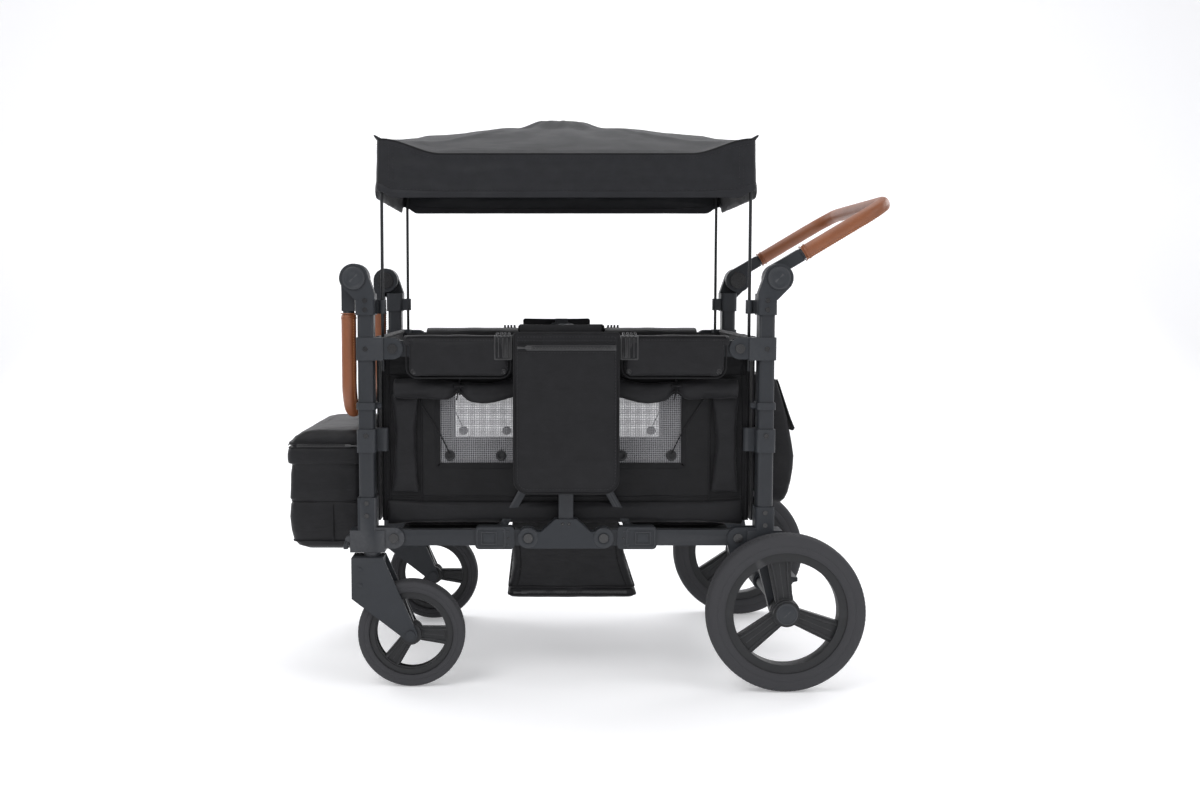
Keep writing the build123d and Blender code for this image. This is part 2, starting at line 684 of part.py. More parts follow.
def rail(pivot_z, socket_end):
    """A rail's tube with its outer eye, and the moulded socket with the centre knuckle."""
    half = RAIL_HEIGHT / 2
    inner_end = HUB_PIVOT_X + SOCKET_START + SOCKET_WALL
    bar = rectangle((inner_end, CORNER_PIVOT_X), (pivot_z - half, pivot_z + half))
    outline = bar + Pos(CORNER_PIVOT_X, pivot_z) * Circle(half)
    outline -= Pos(CORNER_PIVOT_X, pivot_z) * Circle(PIN_RADIUS + RUN_FIT)
    hollow = rectangle(
        (inner_end - 1, CORNER_PIVOT_X - 2 * half),
        (pivot_z - half + RAIL_WALL, pivot_z + half - RAIL_WALL),
    )
    tube = slab(outline, RAIL_INNER, RAIL_OUTER)
    tube -= slab(hollow, RAIL_INNER + RAIL_WALL, RAIL_OUTER - RAIL_WALL)
    start, end = HUB_PIVOT_X + SOCKET_START, HUB_PIVOT_X + socket_end
    shell = Pos((start + end) / 2, pivot_z) * RectangleRounded(
        end - start, 2 * SOCKET_HALF_HEIGHT, SOCKET_WALL * 2
    )
    socket = slab(shell, RAIL_INNER - SOCKET_WALL, RAIL_OUTER + SOCKET_WALL)
    neck = rectangle((HUB_PIVOT_X, start + SOCKET_WALL), (pivot_z - half, pivot_z + half))
    knuckle = neck + Pos(HUB_PIVOT_X, pivot_z) * Circle(KNUCKLE_RADIUS)
    socket += slab(knuckle, RAIL_INNER, RAIL_OUTER)
    socket -= disc(HUB_PIVOT_X, pivot_z, PIN_RADIUS + RUN_FIT, RAIL_INNER, RAIL_OUTER)
    socket -= block(
        (inner_end, end + SOCKET_WALL),
        (RAIL_INNER - SEAT_FIT, RAIL_OUTER + SEAT_FIT),
        (pivot_z - half - SEAT_FIT, pivot_z + half + SEAT_FIT),
    )
    return [tube, socket]


def hub_plate(pivot_z):
    """The bell-shaped outline between the two centre pivots."""
    eyes = [Pos(side * HUB_PIVOT_X, pivot_z) * Circle(CHEEK_RADIUS) for side in (-1, 1)]
    base = rectangle(
        (-HUB_PIVOT_X, HUB_PIVOT_X),
        (pivot_z - BELL_BASE_DROP + BELL_BASE_LIFT, pivot_z + CHEEK_RADIUS - BELL_SHOULDER_DROP),
    )
    crown = make_face(
        Polyline(
            (-BELL_BASE_WIDTH / 2, pivot_z),
            (BELL_BASE_WIDTH / 2, pivot_z),
            (BELL_TOP_WIDTH / 2, pivot_z + BELL_RISE),
            (-BELL_TOP_WIDTH / 2, pivot_z + BELL_RISE),
            close=True,
        )
    )
    outline = base + crown + eyes[0] + eyes[1]
    for side in (-1, 1):
        outline -= Pos(side * HUB_PIVOT_X, pivot_z) * Circle(PIN_RADIUS + RUN_FIT)
    return outline


def hub_plates():
    """The plates on both faces of the lower and upper centre joints."""
    plates = []
    for pivot_z in (BOTTOM_PIVOT_Z, TOP_PIVOT_Z):
        plates.append(slab(hub_plate(pivot_z), PLATE_OUTER, PLATE_OUTER + CHEEK))
        plates.append(slab(hub_plate(pivot_z), PLATE_INNER - CHEEK, PLATE_INNER))
    return plates


def pivot_pin(x, z):
    """A pin through two plates, with a head at each end."""
    inner, outer = PLATE_INNER - CHEEK, PLATE_OUTER + CHEEK
    pin = disc(x, z, PIN_RADIUS, inner - PIN_HEAD, outer + PIN_HEAD)
    pin += disc(x, z, PIN_HEAD_RADIUS, outer, outer + PIN_HEAD)
    return pin + disc(x, z, PIN_HEAD_RADIUS, inner - PIN_HEAD, inner)


def hub_pins():
    """The four pins of one side's centre joints."""
    heights = (BOTTOM_PIVOT_Z, TOP_PIVOT_Z)
    return [pivot_pin(side * HUB_PIVOT_X, z) for side in (-1, 1) for z in heights]


def centre_post():
    """The upright between the lower and upper centre joints."""
    half = CENTRE_POST_WIDTH / 2
    heights = (CENTRE_POST_FOOT, CENTRE_POST_HEAD)
    outer = block((-half, half), (PLATE_INNER, PLATE_OUTER), heights)
    room = block(
        (RAIL_WALL - half, half - RAIL_WALL),
        (PLATE_INNER + RAIL_WALL, PLATE_OUTER - RAIL_WALL),
        (CENTRE_POST_FOOT + RAIL_WALL, CENTRE_POST_HEAD - RAIL_WALL),
    )
    return outer - room


def strut_plane():
    """The two faces between which the struts swing."""
    outer = PLATE_INNER - CHEEK - PIN_HEAD - SIDE_GAP
    return outer - STRUT_THICK, outer


def strut_collar():
    """The collar that slides on the centre post, with its two strut pins."""
    near, _ = strut_plane()
    half = CENTRE_POST_WIDTH / 2
    heights = (COLLAR_PIVOT_Z - COLLAR_HEIGHT / 2, COLLAR_PIVOT_Z + COLLAR_HEIGHT / 2)
    body = block(
        (-half - COLLAR_WALL, half + COLLAR_WALL),
        (PLATE_INNER - COLLAR_WALL, PLATE_OUTER + COLLAR_WALL),
        heights,
    )
    body -= block(
        (-half - SOFT_GAP, half + SOFT_GAP),
        (PLATE_INNER - SOFT_GAP, PLATE_OUTER + SOFT_GAP),
        heights,
    )
    for side in (-1, 1):
        body += disc(
            side * COLLAR_PIVOT_X,
            COLLAR_PIVOT_Z,
            STRUT_PIN_RADIUS,
            near,
            PLATE_INNER - COLLAR_WALL,
        )
    return body


def strut():
    """One strut from the collar down to the inner face of the lower socket."""
    near, far = strut_plane()
    top = Pos(COLLAR_PIVOT_X, COLLAR_PIVOT_Z) * Circle(STRUT_WIDTH / 2)
    foot = Pos(STRUT_FOOT_X, STRUT_FOOT_Z) * Circle(STRUT_WIDTH / 2)
    outline = wrapped(top, foot)
    outline -= Pos(COLLAR_PIVOT_X, COLLAR_PIVOT_Z) * Circle(STRUT_PIN_RADIUS + RUN_FIT)
    seat = RAIL_INNER - SOCKET_WALL - SOFT_GAP
    boss = disc(STRUT_FOOT_X, STRUT_FOOT_Z, STRUT_BOSS_RADIUS, near, seat)
    return slab(outline, near, far) + boss


# Floor, fabric parts and canopy


def floor_board():
    """A board on its two cross bars, which end on the rails."""
    end = CORNER_PIVOT_X - BOARD_END_INSET
    board = block(
        (BOARD_START, end),
        (-BOARD_HALF_WIDTH, BOARD_HALF_WIDTH),
        (BOARD_LOW, BOARD_LOW + BOARD_THICK),
    )
    socket_end = HUB_PIVOT_X + BOTTOM_SOCKET_END
    for bar_x in (socket_end + BAR_RADIUS + BAR_MARGIN, end - BAR_INSET):
        board += disc(bar_x, BAR_Z, BAR_RADIUS, -RAIL_INNER, RAIL_INNER)
    return board


def floor_pad():
    """The padded mat on a board."""
    low = BOARD_LOW + BOARD_THICK + SOFT_GAP
    return block(
        (BOARD_START + PAD_MARGIN, CORNER_PIVOT_X - BOARD_END_INSET - PAD_MARGIN),
        (PAD_MARGIN - BOARD_HALF_WIDTH, BOARD_HALF_WIDTH - PAD_MARGIN),
        (low, low + PAD_THICK),
    )


def side_liner():
    """The fabric wall along one side of the tub."""
    reach = PANEL_X - SIDE_GAP
    return block((-reach, reach), (LINER_INNER, LINER_OUTER), (LINER_LOW, LINER_HIGH))


def end_panel():
    """The fabric wall at one end of the tub, with its hanging loops."""
    far = PANEL_X + PANEL_THICK
    panel = block((PANEL_X, far), (-LINER_OUTER, LINER_OUTER), (LINER_LOW, PANEL_HIGH))
    loop = (far, POST_X - CROSS_TUBE_RADIUS - SOFT_GAP)
    for height in CROSS_TUBE_HEIGHTS[1:]:
        strap_span = (height - BAG_STRAP_HALF, height + BAG_STRAP_HALF)
        panel += block(loop, (-BAG_SIDE_INSET, BAG_SIDE_INSET), strap_span)
    return panel


def rail_flap():
    """The padded cover that hangs over a top rail."""
    low, high = TOP_PIVOT_Z + RAIL_HEIGHT / 2 + SOFT_GAP, TOP_PIVOT_Z + SOCKET_HALF_HEIGHT
    x_span = (HUB_PIVOT_X + TOP_SOCKET_END + FLAP_OFFSET, CORNER_PIVOT_X - FLAP_END_INSET)
    face = RAIL_OUTER + SOCKET_WALL + FLAP_OFFSET
    outline = Pos(sum(x_span) / 2, (FLAP_LOW + high) / 2) * RectangleRounded(
        x_span[1] - x_span[0], high - FLAP_LOW, FLAP_THICK
    )
    front = slab(outline, face, face + FLAP_THICK)
    return front + block(x_span, (RAIL_INNER, face + SOFT_GAP), (low, high))


def side_pocket():
    """The zipped pocket outside the centre post, hung from the upper hub plate."""
    near = PLATE_OUTER + CHEEK + POCKET_STANDOFF - RAIL_HEIGHT / 2
    outline = Pos(0, (POCKET_LOW + POCKET_HIGH) / 2) * RectangleRounded(
        2 * POCKET_HALF_WIDTH, POCKET_HIGH - POCKET_LOW, POCKET_ROUND
    )
    strap = block(
        (-POCKET_STRAP_HALF, POCKET_STRAP_HALF),
        (PLATE_OUTER + CHEEK + SOFT_GAP, near + FABRIC),
        (POCKET_STRAP_LOW, POCKET_STRAP_HIGH),
    )
    return slab(outline, near, near + POCKET_DEPTH) + strap


def footwell_bag():
    """The open bag under the middle of the floor, with a lip under each board."""
    lip_top = BOARD_LOW - SOFT_GAP
    lip_low = lip_top - FABRIC

    def outline(wall, top):
        return make_face(
            Polyline(
                (-FOOTWELL_TOP_HALF + wall, top),
                (FOOTWELL_TOP_HALF - wall, top),
                (FOOTWELL_TOP_HALF + FOOTWELL_TAPER - wall, FOOTWELL_FLOOR + wall),
                (-FOOTWELL_TOP_HALF + wall, FOOTWELL_FLOOR + wall),
                close=True,
            )
        )

    half = FOOTWELL_HALF_WIDTH
    bag = slab(outline(0, lip_top), -half, half)
    for side in (-1, 1):
        near, far = side * (FOOTWELL_TOP_HALF - FABRIC), side * FOOTWELL_LIP
        bag += block((min(near, far), max(near, far)), (-half, half), (lip_low, lip_top))
    return bag - slab(outline(FABRIC, lip_top + FABRIC), FABRIC - half, half - FABRIC)


def hanging_bag(outline, low, high):
    """A closed bag across one end, drawn at the rear, with a strap to the middle cross tube."""
    bag = slab(outline, -BAG_HALF_WIDTH, BAG_HALF_WIDTH)
    near = POST_X + CROSS_TUBE_RADIUS + SOFT_GAP
    far = POST_X + CROSS_TUBE_RADIUS + BAG_STANDOFF + FABRIC
    height = CROSS_TUBE_HEIGHTS[1]
    strap_span = (height - BAG_STRAP_HALF, height + BAG_STRAP_HALF)
    strap = block((near, far), (-BAG_SIDE_INSET, BAG_SIDE_INSET), strap_span)
    return bag + strap


def front_bag():
    """The zipped bag at the front end, drawn at the rear."""
    back = POST_X + CROSS_TUBE_RADIUS + BAG_STANDOFF
    face = POST_X + BAG_FRONT
    outline = Pos((back + face) / 2, (BAG_LOW + BAG_HIGH) / 2) * RectangleRounded(
        face - back, BAG_HIGH - BAG_LOW, POCKET_ROUND
    )
    return hanging_bag(outline, BAG_LOW, BAG_HIGH)


def rear_pocket():
    """The flat pocket with a flap at the rear end."""
    back = POST_X + CROSS_TUBE_RADIUS + BAG_STANDOFF
    outline = make_face(
        Polyline(
            (back, REAR_BAG_LOW),
            (back + REAR_BAG_DEPTH * REAR_BAG_FOOT, REAR_BAG_LOW),
            (back + REAR_BAG_DEPTH, CROSS_TUBE_HEIGHTS[1]),
            (back + REAR_BAG_DEPTH, REAR_BAG_HIGH - POCKET_ROUND),
            (back + REAR_BAG_DEPTH * REAR_BAG_TOP, REAR_BAG_HIGH),
            (back, REAR_BAG_HIGH),
            close=True,
        )
    )
    return hanging_bag(outline, REAR_BAG_LOW, REAR_BAG_HIGH)


def canopy_slope():
    """How much the inside of the roof rises for each millimetre in from its end."""
    rise = CANOPY_PEAK - VALANCE_HIGH
    return rise / (CANOPY_HALF_LENGTH - CLOTH - (PEAK_LENGTH / 2 - CLOTH))


def canopy_hoop():
    """The wire hoop at one end: a rod up each side and a bar across."""
    inset = CANOPY_HALF_LENGTH - CLOTH - ROD_X - ROD_RADIUS
    top = VALANCE_HIGH - CLOTH + canopy_slope() * inset - ROD_RADIUS
    line = FilletPolyline(
        (ROD_X, -ROD_Y, ROD_FOOT),
        (ROD_X, -ROD_Y, top),
        (ROD_X, ROD_Y, top),
        (ROD_X, ROD_Y, ROD_FOOT),
        radius=ROD_BEND,
    )
    return sweep(Plane(line @ 0, z_dir=line % 0) * Circle(ROD_RADIUS), path=line)


def roof(half_length, half_width, low, high, peak_length, peak_width):
    """A flat-topped tent shape over a rectangle."""
    base = Plane.XY.offset(low) * Rectangle(2 * half_length, 2 * half_width)
    peak = Plane.XY.offset(high) * Rectangle(peak_length, peak_width)
    return loft([base, peak])


def canopy_cover():
    """The cloth cover: four hanging sides and a roof that rises to the middle."""
    length, width = CANOPY_HALF_LENGTH, CANOPY_HALF_WIDTH
    outer = block((-length, length), (-width, width), (VALANCE_LOW, VALANCE_HIGH))
    outer += roof(length, width, VALANCE_HIGH, CANOPY_PEAK, PEAK_LENGTH, PEAK_WIDTH)
    length -= CLOTH
    width -= CLOTH
    seam = VALANCE_HIGH - CLOTH
    inner = block((-length, length), (-width, width), (VALANCE_LOW - CLOTH, seam))
    inner += roof(
        length,
        width,
        seam,
        CANOPY_PEAK - CLOTH,
        PEAK_LENGTH - 2 * CLOTH,
        PEAK_WIDTH - 2 * CLOTH,
    )
    return outer - inner


# Fasteners, drawn at the rear left


def frame_fasteners(sleeve_top):
    """The pins, rivets and screw heads of one post and its brackets."""
    pins = [pivot_pin(CORNER_PIVOT_X, z) for z in (BOTTOM_PIVOT_Z, TOP_PIVOT_Z)]
    upper_middle = (UPPER_BRACKET_LOW + UPPER_BRACKET_HIGH) / 2
    heights = [
        sleeve_top - 10,
        sleeve_top - 34,
        upper_middle,
        LOWER_BRACKET_HIGH - 12,
        HEAD_FOOT + 10,
        HEAD_FOOT + 27,
    ]
    rivets = [
        disc(POST_X, z, RIVET_RADIUS, SLEEVE_OUTER_Y, SLEEVE_OUTER_Y + RIVET_HEIGHT)
        for z in heights
    ]
    cap = disc(
        HEAD_X,
        HEAD_PIVOT_Z,
        KNUCKLE_RADIUS,
        POST_INNER_Y - PIN_HEAD,
        POST_INNER_Y,
    )
    return [*pins, *rivets, cap]


# The nodes


def paired(shape):
    """Both sides' copies of each solid of a piece drawn on the left."""
    shapes = shape if isinstance(shape, list) else [shape]
    return [copy for each in shapes for copy in both_sides(each)]


def rear_and_front(node, shape):
    """Save a node for the rear frame and its twin for the front frame."""
    save(f"rear_{node}", paired(shape))
    save(f"front_{node}", to_front(paired(shape)))


def save_frames():
    """Write the nodes of the two end frames."""
    rear_and_front("posts", post())
    rear_and_front("post_heads", post_head())
    rear_and_front("post_brackets", [upper_bracket(), clamp(), lower_bracket()])
    tubes = [cross_tube(height) for height in CROSS_TUBE_HEIGHTS]
    save("rear_cross_tubes", tubes)
    save("front_cross_tubes", to_front(tubes))
    save("rear_corner_brackets", paired(rear_corner_bracket()))
    save("front_corner_brackets", to_front(paired(front_corner_bracket())))
    save("rear_fasteners", paired(frame_fasteners(REAR_SLEEVE_TOP)))
    save("front_fasteners", to_front(paired(frame_fasteners(FRONT_SLEEVE_TOP))))
    save("rear_end_panel", [end_panel()])
    save("front_end_panel", to_front([end_panel()]))
    save("front_bag", to_front([front_bag()]))
    save("rear_pocket", [rear_pocket()])


def save_handles():
    """Write the handles, their grips and the four push buttons."""
    frame, grip = handle(REAR_HANDLE_ANGLE)
    save("rear_handle_frame", frame)
    save("rear_handle_grip", grip)
    frame, grip = handle(FRONT_HANDLE_ANGLE)
    save("front_handle_frame", to_front(frame))
    save("front_handle_grip", to_front(grip))
    right, left = both_sides(button())
    save("rear_button_right", [right])
    save("rear_button_left", [left])
    save("front_button_right", to_front([right]))
    save("front_button_left", to_front([left]))


def save_wheels():
    """Write the wheels, forks, levers, axle and brake."""
    rear_rim, rear_tyre = rear_wheel()
    front_rim, front_tyre = front_wheel()
    pieces = {
        "rear_rim": rear_rim,
        "rear_tyre": rear_tyre,
        "front_rim": front_rim,
        "front_tyre": front_tyre,
        "caster_fork": caster_fork(),
        "lock_lever": to_front([lock_lever()]),
    }
    for node, shapes in pieces.items():
        save(f"{node}_right", shapes)
        save(f"{node}_left", [mirror(shape, about=Plane.XZ) for shape in shapes])
    save("rear_axle", rear_axle())
    save("brake_pedal", [brake_pedal()])


def save_folding_parts():
    """Write the rails, centre joints, struts and floor."""
    bottom = paired(rail(BOTTOM_PIVOT_Z, BOTTOM_SOCKET_END))
    top = paired(rail(TOP_PIVOT_Z, TOP_SOCKET_END))
    pieces = {
        "bottom_rails": bottom,
        "top_rails": top,
        "struts": paired(strut()),
        "floor_board": [floor_board()],
        "floor_pad": [floor_pad()],
        "rail_flaps": paired(rail_flap()),
    }
    for node, shapes in pieces.items():
        save(f"rear_{node}", shapes)
        save(f"front_{node}", to_front(shapes))
    save("hub_plates", paired(hub_plates()))
    save("hub_pins", paired(hub_pins()))
    save("centre_posts", paired(centre_post()))
    save("strut_collars", paired(strut_collar()))
    save("side_pockets", paired(side_pocket()))
    save("side_liners", paired(side_liner()))
    save("footwell_bag", [footwell_bag()])


def save_canopy():
    """Write the two hoops and the cover."""
    save("rear_canopy_hoop", [canopy_hoop()])
    save("front_canopy_hoop", to_front([canopy_hoop()]))
    save("canopy_cover", [canopy_cover()])


os.makedirs("parts", exist_ok=True)
save_frames()
save_handles()
save_wheels()
save_folding_parts()
save_canopy()
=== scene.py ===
import logging
import math
from dataclasses import dataclass, field
from enum import Enum
from typing import Callable, Iterable, Sequence

import bmesh
import bpy
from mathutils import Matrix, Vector, noise


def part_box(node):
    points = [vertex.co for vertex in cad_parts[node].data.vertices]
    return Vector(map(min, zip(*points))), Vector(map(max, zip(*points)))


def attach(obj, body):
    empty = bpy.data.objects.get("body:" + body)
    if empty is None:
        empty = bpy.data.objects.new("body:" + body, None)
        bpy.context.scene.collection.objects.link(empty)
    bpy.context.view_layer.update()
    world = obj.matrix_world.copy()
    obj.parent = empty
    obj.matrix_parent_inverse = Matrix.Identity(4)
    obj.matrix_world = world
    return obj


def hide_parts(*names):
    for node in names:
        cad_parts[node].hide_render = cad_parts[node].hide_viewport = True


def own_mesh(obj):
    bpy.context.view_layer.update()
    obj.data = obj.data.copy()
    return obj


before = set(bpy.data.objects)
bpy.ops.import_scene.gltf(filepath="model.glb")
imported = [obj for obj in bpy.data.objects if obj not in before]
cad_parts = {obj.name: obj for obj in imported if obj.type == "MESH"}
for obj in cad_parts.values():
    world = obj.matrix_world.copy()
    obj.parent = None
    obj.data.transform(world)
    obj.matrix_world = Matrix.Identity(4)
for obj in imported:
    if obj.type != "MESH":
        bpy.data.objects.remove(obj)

LOG = logging.getLogger("pull_wagon")
MM = 0.001
SEED = 7

Point = tuple[float, float, float]


# Directions


class Way(Enum):
    """A direction on the wagon, spelt as in the nodes' names and signed along its axis."""

    def __str__(self) -> str:
        """Its word in the names of nodes and bodies."""
        return self.name.lower()

    @property
    def sign(self) -> int:
        """Its direction along its axis, -1 or 1."""
        return self.value


class Side(Way):
    """The wagon's two sides, along Y."""

    LEFT = -1
    RIGHT = 1


class End(Way):
    """The wagon's two ends, along X."""

    FRONT = -1
    REAR = 1


# Shader building


class Shader:
    """A node tree being laid out, for a material or for a group."""

    def __init__(self, tree: bpy.types.NodeTree) -> None:
        """Keep the tree that nodes are added to."""
        self.tree = tree

    def add(self, kind: str, **inputs: object) -> bpy.types.Node:
        """Add one node.

        Args:
            kind: The node's type, without the ShaderNode prefix.
            inputs: Attributes of the node, or socket values and links with spaces as underscores.

        Returns:
            The new node.
        """
        node = self.tree.nodes.new("ShaderNode" + kind)
        for key, value in inputs.items():
            name = key.replace("_", " ")
            if name in node.inputs:
                self.feed(node.inputs[name], value)
            else:
                setattr(node, key, value)
        return node

    def feed(self, socket: bpy.types.NodeSocket, value: object) -> None:
        """Link an output into a socket, or set the socket's own value."""
        if isinstance(value, bpy.types.NodeSocket):
            self.tree.links.new(value, socket)
        else:
            socket.default_value = value

    def math(self, operation: str, *values: object) -> bpy.types.NodeSocket:
        """Add a Math node and return its output."""
        node = self.tree.nodes.new("ShaderNodeMath")
        node.operation = operation
        for socket, value in zip(node.inputs, values):
            self.feed(socket, value)
        return node.outputs[0]

    def spread(self, value: object, low: float, high: float) -> bpy.types.NodeSocket:
        """Stretch a value from 0 to 1 over the range low to high."""
        node = self.add("MapRange", Value=value, To_Min=low, To_Max=high)
        return node.outputs["Result"]

    def blend(self, factor: object, first: object, second: object) -> bpy.types.NodeSocket:
        """Mix two colours and return the result."""
        node = self.tree.nodes.new("ShaderNodeMix")
        node.data_type = "RGBA"
        for socket, value in ((node.inputs[0], factor), (node.inputs[6], first), (node.inputs[7], second)):
            self.feed(socket, value)
        return node.outputs[2]


def new_group(name: str, numbers: dict[str, float], outputs: Sequence[str]) -> tuple[Shader, object, object]:
    """Start a shader group whose inputs are numbers and whose outputs are masks or heights.

    Args:
        name: The group's name.
        numbers: Input names and their default values.
        outputs: Output names.

    Returns:
        The group's shader, its input node and its output node.
    """
    tree = bpy.data.node_groups.new(name, "ShaderNodeTree")
    for key, value in numbers.items():
        socket = tree.interface.new_socket(key, in_out="INPUT", socket_type="NodeSocketFloat")
        socket.default_value = value
    for key in outputs:
        tree.interface.new_socket(key, in_out="OUTPUT", socket_type="NodeSocketFloat")
    sheet = Shader(tree)
    return sheet, tree.nodes.new("NodeGroupInput"), tree.nodes.new("NodeGroupOutput")


def weave_group() -> bpy.types.NodeTree:
    """Threads over and under in all three directions, and the slack that cloth keeps in it."""
    numbers = {"Threads": 900.0, "Slack": 9.0}
    sheet, given, out = new_group("woven_threads", numbers, ["Height", "Shade", "Slack"])
    place = sheet.add("TexCoord").outputs["Object"]
    parts = sheet.add("SeparateXYZ", Vector=place)
    across = sheet.math("ADD", parts.outputs[0], parts.outputs[1])
    over = sheet.math("SINE", sheet.math("MULTIPLY", across, given.outputs["Threads"]))
    up = sheet.math("ADD", parts.outputs[2], sheet.math("MULTIPLY", parts.outputs[1], 0.31))
    under = sheet.math("SINE", sheet.math("MULTIPLY", up, given.outputs["Threads"]))
    crossing = sheet.math("MULTIPLY", over, under)
    fuzz = sheet.add("TexNoise", Vector=place, Scale=1400.0, Detail=2.0).outputs["Fac"]
    height = sheet.math("ADD", sheet.math("MULTIPLY", crossing, 0.5), fuzz)
    sheet.feed(out.inputs["Height"], height)
    patch = sheet.add("TexNoise", Vector=place, Scale=38.0, Detail=5.0, Roughness=0.62).outputs["Fac"]
    sheet.feed(out.inputs["Shade"], sheet.math("ADD", sheet.math("MULTIPLY", crossing, 0.12), patch))
    stretched = sheet.add("Mapping", Vector=place)
    stretched.inputs["Scale"].default_value = (0.55, 1.0, 1.7)
    slack = sheet.add("TexNoise", Vector=stretched.outputs[0], Scale=given.outputs["Slack"], Detail=3.0)
    slack.inputs["Distortion"].default_value = 0.9
    sheet.feed(out.inputs["Slack"], slack.outputs["Fac"])
    return sheet.tree


def grain_group() -> bpy.types.NodeTree:
    """Pebbled cells with fine noise, for moulded plastic, rubber, powder coat and leather."""
    sheet, given, out = new_group("pebble_grain", {"Scale": 900.0, "Soften": 0.5}, ["Height", "Shade"])
    place = sheet.add("TexCoord").outputs["Object"]
    cells = sheet.add("TexVoronoi", Vector=place, Scale=given.outputs["Scale"], feature="SMOOTH_F1")
    fine = sheet.add("TexNoise", Vector=place, Scale=given.outputs["Scale"], Detail=4.0).outputs["Fac"]
    mixed = sheet.math("MULTIPLY", fine, given.outputs["Soften"])
    sheet.feed(out.inputs["Height"], sheet.math("ADD", cells.outputs["Distance"], mixed))
    broad = sheet.add("TexNoise", Vector=place, Scale=22.0, Detail=6.0, Roughness=0.65).outputs["Fac"]
    sheet.feed(out.inputs["Shade"], broad)
    return sheet.tree


def wear_group() -> bpy.types.NodeTree:
    """Rubbed edges, handling smears and the dust that settles on top."""
    sheet, given, out = new_group("wear_and_dust", {"Edge": 1.0, "Dust": 1.0}, ["Edge", "Dust", "Smear"])
    place = sheet.add("TexCoord").outputs["Object"]
    shape = sheet.add("NewGeometry")
    ridge = sheet.add("MapRange", Value=shape.outputs["Pointiness"], From_Min=0.52, From_Max=0.62)
    chips = sheet.add("TexNoise", Vector=place, Scale=160.0, Detail=6.0, Roughness=0.7).outputs["Fac"]
    broken = sheet.math("MULTIPLY", ridge.outputs["Result"], sheet.spread(chips, 0.1, 1.0))
    sheet.feed(out.inputs["Edge"], sheet.math("MULTIPLY", broken, given.outputs["Edge"]))
    top = sheet.add("SeparateXYZ", Vector=shape.outputs["Normal"]).outputs[2]
    settled = sheet.add("MapRange", Value=top, From_Min=0.35, From_Max=1.0).outputs["Result"]
    specks = sheet.add("TexNoise", Vector=place, Scale=420.0, Detail=8.0, Roughness=0.8).outputs["Fac"]
    film = sheet.math("MULTIPLY", settled, sheet.spread(specks, 0.0, 0.9))
    sheet.feed(out.inputs["Dust"], sheet.math("MULTIPLY", film, given.outputs["Dust"]))
    smear = sheet.add("TexNoise", Vector=place, Scale=11.0, Detail=4.0, Distortion=1.6).outputs["Fac"]
    sheet.feed(out.inputs["Smear"], smear)
    return sheet.tree


class Effects:
    """The shader groups that the finishes share, each built once."""

    made: dict[str, bpy.types.NodeTree] = {}

    @classmethod
    def place(cls, sheet: Shader, build: Callable[[], bpy.types.NodeTree], **values: float) -> bpy.types.Node:
        """Put one group into a material.

        Args:
            sheet: The material's shader.
            build: The function that makes the group.
            values: The group's inputs for this material.

        Returns:
            The group node.
        """
        if build.__name__ not in cls.made:
            cls.made[build.__name__] = build()
        node = sheet.tree.nodes.new("ShaderNodeGroup")
        node.node_tree = cls.made[build.__name__]
        for key, value in values.items():
            node.inputs[key].default_value = value
        return node


Colour = tuple[float, float, float]
DUST_COLOUR: Colour = (0.16, 0.155, 0.15)


def opaque(colour: Colour, share: float = 1.0) -> tuple[float, float, float, float]:
    """A colour with full alpha, scaled by a share."""
    return (colour[0] * share, colour[1] * share, colour[2] * share, 1.0)


@dataclass(frozen=True)
class Finish:
    """What every finish has: a name, a colour and how rough it is."""

    name: str
    colour: Colour
    roughness: float

    def start(self) -> tuple[bpy.types.Material, Shader, bpy.types.Node]:
        """Make an empty material with its Principled shader.

        Returns:
            The material, its shader and the Principled node.
        """
        material = bpy.data.materials.new(self.name)
        material.use_nodes = True
        sheet = Shader(material.node_tree)
        principled = material.node_tree.nodes["Principled BSDF"]
        material.diffuse_color = opaque(self.colour)
        return material, sheet, principled

    def tint(self, share: float) -> tuple[float, float, float, float]:
        """The finish's own colour, scaled by a share."""
        return opaque(self.colour, share)

    def roughen(self, sheet: Shader, skin: bpy.types.Node, value: object, less: float, more: float) -> None:
        """Let the roughness follow a value around the finish's own roughness.

        Args:
            sheet: The material's shader.
            skin: Its Principled node.
            value: What it follows, from 0 to 1.
            less: How far below it goes.
            more: How far above it goes.
        """
        spread = sheet.spread(value, self.roughness - less, self.roughness + more)
        sheet.feed(skin.inputs["Roughness"], spread)


def settle(node: bpy.types.Node, **values: object) -> None:
    """Set a node's own sockets, named with spaces as underscores."""
    for key, value in values.items():
        node.inputs[key.replace("_", " ")].default_value = value


